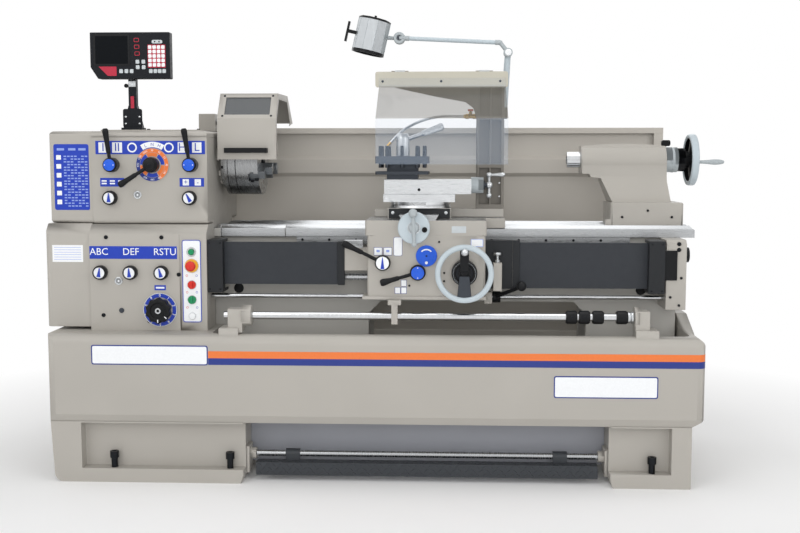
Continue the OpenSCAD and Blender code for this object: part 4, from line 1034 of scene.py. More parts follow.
@dataclass
class Base:
    """Cast base with its stripes and bare name plates, kick panel, feet and splash guard."""

    face: float = -400.0
    length: float = 2230.0
    corner: float = 28.0
    stripe_x: float = 558.0
    stripes: tuple = ((438.0, 462.0, ORANGE), (415.0, 438.0, NAVY))
    plates: tuple = (((156.0, 557.0), (413.0, 481.0)), ((1725.0, 2072.0), (312.0, 387.0)))
    guard_x: float = 542.0
    guard_end: float = 2206.0
    guard_reach: float = 60.0
    lip: tuple[Pair, Pair] = ((319.5, 322.5), (1211.0, 1233.0))

    def build(self) -> None:
        """Dresses the base and everything that stands still on it."""
        shape = Shape()
        shape.skin("base", PAINT, 3.0)
        bend = arc(self.length - self.corner, self.face + self.corner, self.corner, -90, 0, 8)
        path = [(self.stripe_x, self.face), *bend, (self.length, self.face + 90)]
        for low, high, ink in self.stripes:
            shape.ribbon(path, (low, high), 0.5, ink)
        for xs, zs in self.plates:
            shape.plate(xs, zs, self.face, WHITE, 6, 0.8, NAVY, 4)
        shape.settle("base_casting", "machine", "base")
        dress("kick_panel_sheet", "machine", "kick_panel", PANEL, 0.8)
        guard = Shape()
        # The sheet and its top lip take the lighter copy of the machine paint, as painted light.
        guard.skin("splash_guard", SPLASH_PAINTED_LIGHT, 0.8)
        guard.block((self.guard_x, self.guard_end), *self.lip, SPLASH_PAINTED_LIGHT, 0.8)
        for vert in guard.bm.verts:
            if vert.co.x < self.guard_x + 5:
                vert.co.x -= self.guard_reach
        guard.settle("splash_guard_sheet", "machine", "splash_guard")
        dress("leveling_feet", "machine", "leveling_screws", SCREW, 1.2)


@dataclass
class BrakePedal:
    """Full-length foot bar with a chequered tread on a bright shaft."""

    axis: Pair = (-300.0, 86.0)
    xs: Pair = (707.0, 1884.0)
    face: float = -348.0
    pitch: float = 23.5

    def build(self) -> None:
        """Dresses the pedal and sets the raised lozenges on its tread."""
        dress("brake_pedal_bar", "brake_pedal", "brake_pedal", TREAD, 0.8, self.shaft_finish)
        lozenge = Shape()
        lozenge.slab(ORIGIN, [(-9, 0), (0, -2.6), (9, 0), (0, 2.6)], 1.9, TREAD, 0.7, -0.4)
        places = []
        count = int((self.xs[1] - self.xs[0] - 20) / self.pitch)
        for row in range(3):
            for i in range(count):
                x = self.xs[0] + 14 + (i + 0.5 * (row % 2)) * self.pitch
                slant = 38 if (i + row) % 2 else -38
                places.append(front(x, self.face, 28.5 + 14 * row, slant))
                places.append(up(x, self.face + 9 + 14 * row, 65, slant))
        Scatter(TREAD).settle("brake_pedal_tread", "brake_pedal", lozenge, places)

    def shaft_finish(self, centre: Vector, normal: Vector) -> Finish | None:
        """Shaft faces are bright."""
        y, z = self.axis
        return TURNED if math.hypot(centre.y - y, centre.z - z) < 12 else None


@dataclass
class Bed:
    """Bed with ground ways, its feed rack, rack screws and wall plugs."""

    flange: float = 836.0
    wall: float = -140.0
    plug_xs: Pair = (616.0, 2052.0)
    rack_xs: Pair = (850.0, 2000.0)

    def build(self) -> None:
        """Dresses the bed and the rack."""
        shape = Shape()

        def finish(centre: Vector, normal: Vector) -> Finish | None:
            """Everything from the flange up is ground."""
            return GROUND if centre.z > self.flange - 0.5 and centre.x > 540 else None

        shape.skin("bed", CASTING, 1.2, finish)
        for x in self.plug_xs:
            shape.disc(front(x, self.wall + 6, 648), 17.6, 7, BLACK, 1.5)
        shape.settle("bed_casting", "machine", "bed")
        dress("feed_rack_bar", "machine", "feed_rack", GROUND, 0)
        step = 96.0
        count = int((self.rack_xs[1] - self.rack_xs[0]) / step) + 1
        places = [front(self.rack_xs[0] + i * step, self.wall - 18, self.flange - 11) for i in range(count)]
        Scatter(SCREW).settle("feed_rack_screws", "machine", socket_screw(4.6), places)


@dataclass
class Lever:
    """Hub with a face plate and a tapered grip, turning about an axis along Y."""

    node: str
    x: float
    z: float
    back: float
    hub: tuple[float, float, float]
    grip_from: float
    tip: Point
    radii: tuple[float, float, float, float]
    face: Pointer
    shaft: float = 40.0

    def build(self) -> None:
        """Turns the hub and the grip and puts the face on."""
        shape = Shape()
        place = front(self.x, self.back, self.z)
        r, length, cap = self.hub
        shape.turn(place, [(0, -self.shaft), (9, -self.shaft), (9, 0), *fillet(
            [(9.1, 0), (r - 1.5, 0), (r, 3), (r, length - 6), (r - 3, length), (0, length)], 2.5)], BLACK, 56)
        self.face_plate(shape, front(self.x, self.back - length + 0.3, self.z), cap)
        neck, near, far, at = self.radii
        start = (self.x, self.grip_from, self.z)
        shape.rod(start, self.tip, [(0, neck), (at, neck * 0.9), (at + 0.02, near), (0.55 + at / 3, near * 1.06),
                                    (0.93, far), (1, far * 0.72)], BLACK, 7)
        shape.settle_as(self.node)

    def face_plate(self, shape: Shape, place: Matrix, r: float) -> None:
        """Puts the coloured cap or pointer on the hub.

        Args:
            shape: The lever.
            place: Where the hub's face stands.
            r: Radius of the cap.
        """
        if self.face is Pointer.PLAIN:
            shape.disc(place, r, 6.5, BLACK, 2.0)
            shape.disc(place, r * 0.28, 7.2, SCREW, 0.4)
            return
        if self.face is Pointer.WEDGE:
            shape.disc(place, r, 2.0, WHITE)
            shape.slab(place, [(-6.5, -r + 2), (6.5, -r + 2), (1, r - 2), (-1, r - 2)], 2.8, BLUE)
            return
        shape.disc(place, r, 3.2, BLUE_CAP, 1.2)
        spread = Vector((r - 5, 0)) if self.face is Pointer.CAP_ACROSS else Vector((0, r - 5))
        for side in (-1, 1):
            shape.disc(place @ Matrix.Translation((*(spread * side), 0)), 1.8, 3.7, WHITE, 0.2)


@dataclass
class SmallKnob:
    """Round selector knob: black skirt, white face and a blue wedge."""

    node: str
    x: float
    z: float
    face: float
    tilt: float = 0.0

    def build(self) -> None:
        """Turns the skirt and lays the wedge on the face."""
        shape = Shape()
        place = front(self.x, self.face, self.z, self.tilt)
        skirt = [(25, 2), (25, 17), (23.2, 20.5), (23, 27), (22, 28), (19.6, 28), (19, 27), (19, 25), (0, 25)]
        shape.turn(place, [(0, -29), (7, -29), (7, 0.3), (23.5, 0.3), *skirt], BLACK, 72, (36, 0.5))
        shape.disc(place, 18.9, 0.9, WHITE, 0.3, 24.7)
        shape.slab(place, [(-6.5, -14), (6.5, -14), (1.2, 16.5), (-1.2, 16.5)], 3.5, BLUE, 0.4, 25.4)
        shape.settle_as(self.node)


@dataclass
class Headstock:
    """Headstock with its index plates, speed dial, levers and selector knobs."""

    face: float = -260.0
    dial: Pair = (344.0, 1090.0)
    strip: tuple[Pair, Pair] = ((144.0, 528.0), (1127.0, 1173.0))
    cells: tuple = (("I", 155.0, 187.0), ("II", 203.0, 238.0), ("H", 433.0, 465.0), ("L", 483.0, 516.0))
    speeds: tuple = (30, 45, 65, 95, 140, 200, 290, 420, 600, 870, 1250, 1800)

    def build(self) -> None:
        """Dresses the casting, its plates and its controls."""
        shape = Shape()
        shape.skin("headstock", PAINT, 2.5)
        self.index_strip(shape)
        self.speed_dial(shape)
        self.small_plates(shape)
        sight_glass(shape, 289, 986, self.face)
        shape.settle("headstock_casting", "machine", "headstock")
        corners = [up(x, y, 1212) for x in (172, 322, 498) for y in (-222, 222)]
        Scatter(SCREW).settle("headstock_lid_screws", "machine", socket_screw(6), corners)
        for lever in (
            Lever("left_range_lever", 206, 1090, -266.3, (25, 44, 20), -294, (190.6, -298, 1215),
                  (6.5, 8, 11, 0.32), Pointer.CAP_ACROSS),
            Lever("right_range_lever", 481, 1090, -266.3, (25, 44, 20), -294, (463.5, -298, 1214.8),
                  (6.5, 8, 11, 0.32), Pointer.CAP_ACROSS),
            Lever("speed_lever", 344, 1090, -265.3, (27, 35, 20), -286, (238, -312, 1019),
                  (7, 8, 12, 0.46), Pointer.PLAIN),
        ):
            lever.build()
        for knob in (SmallKnob("head_knob_left", 194, 976, self.face),
                     SmallKnob("head_knob_right", 473, 976, self.face, 28)):
            knob.build()

    def index_strip(self, shape: Shape) -> None:
        """Blue strip with white cells for the two range levers, and an arc over the dial.

        Args:
            shape: The casting that carries it.
        """
        xs, zs = self.strip
        shape.plate(xs, zs, self.face, BLUE, 2, 0.8)
        for letter, x0, x1 in self.cells:
            shape.plate((x0, x1), (zs[0] + 5, zs[1] - 5), self.face, WHITE, 1.5, 1.2)
            middle = front((x0 + x1) / 2, self.face - 1.3, sum(zs) / 2)
            shape.letters(letter, middle, 40, BLUE)
        for x in (273, 402):
            shape.ring(front(x, self.face - 0.6, 1150), 12, 17, 1.0, WHITE, 0.2)
        x, z = self.dial
        shape.sector(front(x, self.face, z), (61, 80), (58, 122), 1.8, WHITE)
        for letter, angle in (("L", 110), ("N", 90), ("H", 70)):
            shape.letters_round(letter, self.dial, self.face - 1.9, 70, angle, 15, BLUE)

    def speed_dial(self, shape: Shape) -> None:
        """Coloured bands with plain speed numbers on the dial's raised disc.

        Args:
            shape: The casting that carries it.
        """
        x, z = self.dial
        place = front(x, self.face - 4.7, z)
        shape.sector(place, (44, 56.5), (-62, 150), 0.8, ORANGE)
        shape.sector(place, (44, 56.5), (151, 297), 0.8, NAVY)
        for i in range(6):
            ink = (BLUE, ORANGE)[i % 2]
            shape.sector(place, (30, 43), (60 * i + 2, 60 * i + 58), 0.8, ink)
        for i, speed in enumerate(self.speeds):
            shape.letters_round(str(speed), self.dial, self.face - 5.6, 50, 90 - 30 * i, 9, WHITE)

    def small_plates(self, shape: Shape) -> None:
        """Two blue plates over the selector knobs, with plain marks.

        Args:
            shape: The casting that carries it.
        """
        shape.plate((158, 243), (1015, 1045), self.face, BLUE, 2)
        for x in (172, 201, 230):
            for z in (1032, 1023):
                shape.plate((x - 9, x + 9), (z, z + 5), self.face, WHITE, 1, 1.2)
        shape.plate((437, 523), (1015, 1045), self.face, BLUE, 2)
        for x, sign in ((459, "+"), (501, "-")):
            shape.plate((x - 11, x + 11), (1019, 1041), self.face, WHITE, 1.5, 1.2)
            shape.letters(sign, front(x, self.face - 1.3, 1030), 24, BLUE)


def sight_glass(shape: Shape, x: float, z: float, face: float) -> None:
    """Round oil sight glass in a bright ring.

    Args:
        shape: The casting that carries it.
        x: Its middle along X.
        z: Its middle along Z.
        face: Where the casting's face lies.
    """
    place = front(x, face, z)
    shape.ring(place, 9.5, 14, 5, SILVER, 1.2)
    shape.disc(place, 9.7, 3.2, GLASS, 0.8)
    shape.disc(place, 3.2, 3.7, WHITE, 0.2)


@dataclass
class EndCover:
    """Cover over the change gears with a chart plate and a lined label."""

    chart_xs: Pair = (-6.0, 118.0)
    chart_zs: Pair = (933.0, 1162.0)
    upper: float = -255.0
    lower: float = -295.0

    def build(self) -> None:
        """Dresses the cover and prints the chart's plain grid."""
        shape = Shape()
        shape.skin("end_cover", PAINT, 2.5)
        x0, (z0, z1) = self.chart_xs[0], self.chart_zs
        shape.plate(self.chart_xs, self.chart_zs, self.upper, BLUE, 7, 0.8)
        for z in range(6):
            low = z0 + 20 + 31 * z
            shape.plate((x0 + 9, x0 + 26), (low, low + 16), self.upper, WHITE, 1.5, 1.2)
        for x in (x0 + 12, x0 + 52, x0 + 88):
            shape.plate((x, x + 26), (z1 - 22, z1 - 14), self.upper, PALE_BLUE, 1, 1.2)
        shape.plate((x0, x0 + 108), (754, 813), self.lower, WHITE, 1, 0.5)
        for i in range(6):
            z = 762 + 8.4 * i
            shape.plate((x0 + 6, x0 + 102), (z, z + 1.4), self.lower, PALE_BLUE, 0.4, 0.8)
        shape.settle("end_cover_sheet", "machine", "end_cover")
        cell = Shape()
        cell.slab(ORIGIN, rectangle(-4.6, 4.6, -2.2, 2.2), 1.4, PALE_BLUE, 0.1)
        places = [front(x0 + 40 + 12.4 * i, self.upper, z0 + 14 + 9.6 * j)
                  for i in range(7) for j in range(19) if (i + 2 * j) % 5]
        Scatter(PALE_BLUE).settle("end_cover_chart_cells", "machine", cell, places)


@dataclass
class FeedGearbox:
    """Feed gearbox with its letter strip, knobs, pitch dial and switch plate."""

    face: float = -300.0
    pitch: Pair = (371.0, 589.0)
    switch_x: float = 484.0
    bosses: tuple = ((568, 11, WHITE), (625, 14, GREEN), (677, 14, RED), (743, 23, YELLOW), (791, 15, SILVER))

    def build(self) -> None:
        """Dresses the box, its plates, its knobs and its push buttons."""
        shape = Shape()
        shape.skin("feed_gearbox", PAINT, 2.0, self.lamp_colours)
        shape.plate((126.5, 433), (766, 810), self.face, BLUE, 2, 0.8)
        for words, x in (("ABC", 160), ("DEF", 272), ("RSTU", 391)):
            shape.letters(words, front(x, self.face - 0.9, 790), 34, WHITE)
        self.switch_plate(shape)
        self.pitch_dial(shape)
        sight_glass(shape, 227, 689, self.face)
        shape.disc(front(235, self.face, 586), 9, 3, OXIDE)
        shape.settle("feed_gearbox_casting", "machine", "feed_gearbox")
        spots = ((186, 841), (380, 841), (438, 712), (171, 569), (332, 549))
        places = [front(x, self.face, z) for x, z in spots]
        Scatter(SCREW).settle("feed_gearbox_screws", "machine", socket_screw(7), places)
        for i, (x, tilt) in enumerate(((166, -8), (271, 3), (379, 14))):
            SmallKnob(f"feed_knob_{i + 1}", x, 719, self.face, tilt).build()
        self.pitch_knob()
        self.buttons()

    def lamp_colours(self, centre: Vector, normal: Vector) -> Finish | None:
        """Colours the bosses of the switch plate by their height."""
        inks = (ink for z, r, ink in self.bosses if math.hypot(centre.x - self.switch_x, centre.z - z) < r + 1)
        return None if centre.y > self.face - 3.2 else next(inks, None)

    def switch_plate(self, shape: Shape) -> None:
        """White plate with a blue border and plain marks beside the switches.

        Args:
            shape: The casting that carries it.
        """
        place = self.face - 3
        outline = rectangle(451, 517, 546, 833, 7)
        shape.slab(front(0, place, 0), outline, 0.5, BLUE)
        shape.slab(front(0, place, 0), inset(outline, 3), 0.9, WHITE)
        for z, r, _ in self.bosses:
            shape.ring(front(self.switch_x, place - 0.4, z), r - 0.2, r + 2.2, 1.0, SILVER, 0.3)
        for z in (598, 651, 709):
            for x, ink in ((467, RED), (501, BLUE)):
                shape.ring(front(x, place - 0.5, z), 2.6, 3.8, 0.8, ink, 0.2)

    def pitch_dial(self, shape: Shape) -> None:
        """Ring of blue fields with plain numbers round the pitch knob, in a bright rim.

        Args:
            shape: The casting that carries it.
        """
        x, z = self.pitch
        place = front(x, self.face - 3.7, z)
        for i in range(10):
            shape.sector(place, (44, 56.5), (36 * i - 17.2, 36 * i + 17.2), 0.8, BLUE)
            shape.letters_round(str(i), self.pitch, self.face - 4.6, 50.5, 90 - 36 * i, 14, WHITE)
        shape.ring(place, 56.6, 59.4, 1.4, SILVER, 0.4)
        shape.plate((352, 392), (657, 675), self.face, BLUE, 2)
        shape.plate((357, 387), (663, 669), self.face, WHITE, 1, 1.2)

    def pitch_knob(self) -> None:
        """Scalloped black knob with a bright centre and two white marks."""
        shape = Shape()
        x, z = self.pitch
        place = front(x, self.face - 4.3, z)
        grip = fillet([(36, 0), (42, 4), (45, 8), (45, 30), (41, 34), (28, 34), (26, 31), (26, 28), (0, 28)], 2)
        shape.turn(place, [(0, -38), (10, -38), (10, 0), *grip], BLACK, 120, (10, 4.6))
        shape.ring(place @ Matrix.Translation((0, 0, 27.5)), 5, 10, 4, SILVER)
        for angle in (-40, -90):
            a = math.radians(angle)
            mark = place @ Matrix.Rotation(a, 4, "Z")
            shape.slab(mark, rectangle(30, 40, -1.6, 1.6), 1.0, WHITE, 0.2, 33.4)
        shape.settle_as("pitch_knob")

    def buttons(self) -> None:
        """Green start button and red mushroom stop button."""
        x = self.switch_x
        start = Shape()
        start.turn(front(x, self.face, 791), fillet([(0, -24), (10, -24), (10, 12), (8.6, 15), (0, 15)], 1.2), GREEN)
        start.settle_as("start_button")
        stop = Shape()
        head = fillet([(0, -20), (9, -20), (9, 17), (16.5, 17), (18, 20), (17.4, 26), (12, 31), (0, 32)], 2.5)
        stop.turn(front(x, self.face, 743), head, RED)
        stop.settle_as("stop_button")


@dataclass
class Chuck:
    """Spindle with its flanged nose, three-jaw chuck and lifting guard."""

    axis_z: float = 1108.0
    chuck_x: Pair = (562.0, 686.0)
    guard_x: Pair = (548.0, 758.0)

    def build(self) -> None:
        """Dresses spindle, chuck, jaws, guard and window."""
        spindle = Shape()
        bore, end = 40.0, self.chuck_x[0] + 12
        profile = [(bore, -24), (68, -24), (70, -22), (70, 545), (102.5, 547), (104, 549), (104, 561), (66, 562),
                   (66, end), (bore, end)]
        spindle.turn(along(0, 0, self.axis_z), profile, TURNED, 96, wrap=True)
        for i in range(6):
            a = math.radians(60 * i + 15)
            cam = aim((554.5, 100 * math.cos(a), self.axis_z + 100 * math.sin(a)),
                      (554.5, 110 * math.cos(a), self.axis_z + 110 * math.sin(a)))
            spindle.disc(cam, 5.5, 4.6, SCREW, 0.4)
        spindle.settle_as("spindle")
        # The chuck's recesses are painted dark, as painted shade.
        dress("chuck_body_dressed", "spindle", "chuck_body", CHUCK, 0.8, self.socket_colour)
        for jaw in ("chuck_jaw_1", "chuck_jaw_2", "chuck_jaw_3"):
            dress(f"{jaw}_dressed", jaw, jaw, JAW, 0.8)
        self.guard()

    def socket_colour(self, centre: Vector, normal: Vector) -> Finish | None:
        """Walls of the key sockets and jaw ways and the floor of a groove near the rim take the dark screw finish, as
        painted shade in these recesses.

        Args:
            centre: Middle of a face.
            normal: Its outward direction.

        Returns:
            Its finish, or nothing for the usual one.
        """
        reach = math.hypot(centre.y, centre.z - self.axis_z)
        deep = self.chuck_x[0] + 1 < centre.x < self.chuck_x[1] - 1 and 46 < reach < 125.5
        return SCREW if deep and abs(normal.x) < 0.9 or 123 < reach < 126.2 and abs(normal.x) > 0.9 else None

    def guard(self) -> None:
        """Sheet guard with a window, its screws and a black bar handle."""

        def finish(centre: Vector, normal: Vector) -> Finish | None:
            """The grab bar is black, and the pivot shaft is bright."""
            shaft = TURNED if centre.x < self.guard_x[0] - 1 else None
            return BLACK if centre.y < -150.5 and centre.z < 1160 else shaft

        dress("chuck_guard_sheet", "chuck_guard", "chuck_guard", PAINT, 1.0, finish)
        dress("chuck_guard_pane", "chuck_guard", "chuck_guard_window", SMOKE, 0.6)
        slope = Matrix.Translation((0, -150, 1255)) @ Matrix.Rotation(math.atan2(90, 65), 4, "X")
        places = [slope @ Matrix.Translation((x, y, 0)) for x in (566, 740) for y in (10, 100)]
        Scatter(SCREW).settle("chuck_guard_screws", "chuck_guard", pan_screw(4.2), places)


@dataclass
class Rods:
    """Leadscrew, feed rod, control rod and the stop rod with its collars."""

    y: float = -230.0
    xs: Pair = (480.0, 2173.0)
    screw_z: float = 765.0
    thread_inset: float = 50.0
    thread_pitch: float = 6.0
    thread_radius: float = 16.2
    thread_crest: float = 1.8
    stop: Pair = (-345.0, 578.0)

    def build(self) -> None:
        """Turns the rods and winds the leadscrew's thread."""
        self.leadscrew()
        x0, x1 = self.xs
        for node, z, r, finish in (("feed_rod", 700, 12, TURNED), ("control_rod", 632, 8, CHROME)):
            shape = Shape()
            line = fillet([(0, 0), (r, 0), (r, x1 - x0), (0, x1 - x0)], 1.0)
            shape.turn(along(x0, self.y, z), line, finish)
            shape.settle_as(node)
        self.stop_rod()

    def leadscrew(self) -> None:
        """Core bar with a round-crested thread wound by a node tree."""
        x0, x1 = self.xs
        core = Shape()
        core.turn(along(x0, self.y, self.screw_z), [(0, 0), (18, 0), (18, 40), (15.4, 44), (15.4, x1 - x0 - 44),
                                                    (18, x1 - x0 - 40), (18, x1 - x0), (0, x1 - x0)], TURNED)
        core.settle_as("leadscrew")
        tree = GrownShape(
            "wound_thread",
            {"Start": "Geometry", "Turns": "Float", "Radius": "Float", "Length": "Float", "Crest": "Float"},
            {"spiral": "GeometryNodeCurveSpiral", "round": "GeometryNodeCurvePrimitiveCircle",
             "sweep": "GeometryNodeCurveToMesh"})
        tree.nodes["spiral"].inputs["Resolution"].default_value = 20
        tree.nodes["round"].inputs["Resolution"].default_value = 6
        tree.nodes["sweep"].inputs["Fill Caps"].default_value = True
        tree.join(("inputs", "Turns", "spiral", "Rotations"), ("inputs", "Radius", "spiral", "Start Radius"),
                  ("inputs", "Radius", "spiral", "End Radius"), ("inputs", "Length", "spiral", "Height"),
                  ("inputs", "Crest", "round", "Radius"), ("spiral", "Curve", "sweep", "Curve"),
                  ("round", "Curve", "sweep", "Profile Curve"), ("sweep", "Mesh", "real", "Geometry"))
        thread = placed("leadscrew_thread", bpy.data.meshes.new("leadscrew_thread"))
        length = x1 - x0 - 2 * self.thread_inset
        sizes = {"Radius": self.thread_radius, "Length": length, "Crest": self.thread_crest}
        wound = tree.run(thread, {"Turns": length / self.thread_pitch, "Finish": TURNED.material(),
                                  **{name: size / MM_PER_M for name, size in sizes.items()}})
        start = Machine.to_row @ Vector((x0 + self.thread_inset, self.y, self.screw_z))
        wound.transform(Matrix.Translation(start) @ Matrix.Rotation(math.pi / 2, 4, "Y"))
        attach(thread, "leadscrew")
        LOG.info("%s rides on %s", thread.name, "leadscrew")

    def stop_rod(self) -> None:
        """Bright bar with black stop collars and a bright end collar."""
        y, z = self.stop
        shape = Shape()
        shape.turn(along(0, y, z), fillet([(0, 604), (13, 604), (13, 2041), (0, 2041)], 1.5), CHROME)
        for x in (1767, 1810, 1856, 1936):
            collar = [(13, x), (19, x), (23, x + 5), (23, x + 33), (19, x + 38), (13, x + 38)]
            shape.turn(along(0, y, z), collar, BLACK, 64, wrap=True)
            shape.disc(front(x + 19, y - 22, z + 3), 3.4, 2.0, SCREW, 0.4)
        for x in (1974, 1985):
            shape.turn(along(0, y, z), [(13, x), (19, x), (20, x + 1), (20, x + 8), (19, x + 9), (13, x + 9)],
                       SILVER, 64, wrap=True)
        shape.settle_as("stop_rod")


@dataclass
class EndBracket:
    """Right-hand rod bracket with its plate and screws, and the dark roll housings."""

    face: float = -280.0
    xs: Pair = (2113.0, 2181.0)

    def build(self) -> None:
        """Dresses the bracket and the two housings."""
        shape = Shape()

        def finish(centre: Vector, normal: Vector) -> Finish | None:
            """The side plate and the end knob are black."""
            plate = centre.y < self.face - 0.2 and centre.z < 830
            return BLACK if plate or centre.x > self.xs[1] + 0.5 else None

        shape.skin("end_bracket", PAINT, 1.6, finish)
        for z in (802, 822):
            shape.disc(front(self.xs[1] - 26, self.face + 7, z), 6.6, 5, SCREW, 0.8)
        shape.settle("end_bracket_casting", "machine", "end_bracket")
        places = [front(x, self.face, z) for x, z in ((2158, 612), (2128, 640), (2164, 706))]
        Scatter(SCREW).settle("end_bracket_screws", "machine", socket_screw(4.5), places)
        dress("roll_housings", "machine", "cover_housings", DARK, 1.4)
        places = [front(x, -292, z) for x in (545, 581, 2062, 2098) for z in (662, 822)]
        Scatter(SCREW).settle("roll_housing_screws", "machine", pan_screw(3.2), places)


@dataclass
class RollCovers:
    """Two cloths that roll out of their housings as the carriage moves, made here as fixed flat strips."""

    y: float = -258.0
    spans: tuple = (("left_roll_cover", (580.0, 987.0), (676.0, 824.0), (592.0, 980.0)),
                    ("right_roll_cover", (1614.0, 2063.0), (666.0, 824.0), (2052.0, 1620.0)))
    thickness: float = 1.2

    def build(self) -> None:
        """Lofts each cloth as a flat strip and sets it in place of the roll covers."""
        for name, xs, zs, ends in self.spans:
            shape = Shape()
            count = 40
            rings = []
            for k in range(count + 1):
                x = xs[0] + (xs[1] - xs[0]) * k / count
                y0, y1 = self.y - self.thickness / 2, self.y + self.thickness / 2
                rings.append([(x, y0, zs[0]), (x, y0, zs[1]), (x, y1, zs[1]), (x, y1, zs[0])])
            shape.loft(rings, CLOTH)
            piece = shape.object(name)
            start, end = (Machine.to_row @ Vector((x, self.y, 750)) for x in ends)
            tuple(start)
            tuple(end)
            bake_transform(piece)
            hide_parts("roll_covers")
            LOG.info("%s rolls between machine and carriage", name)


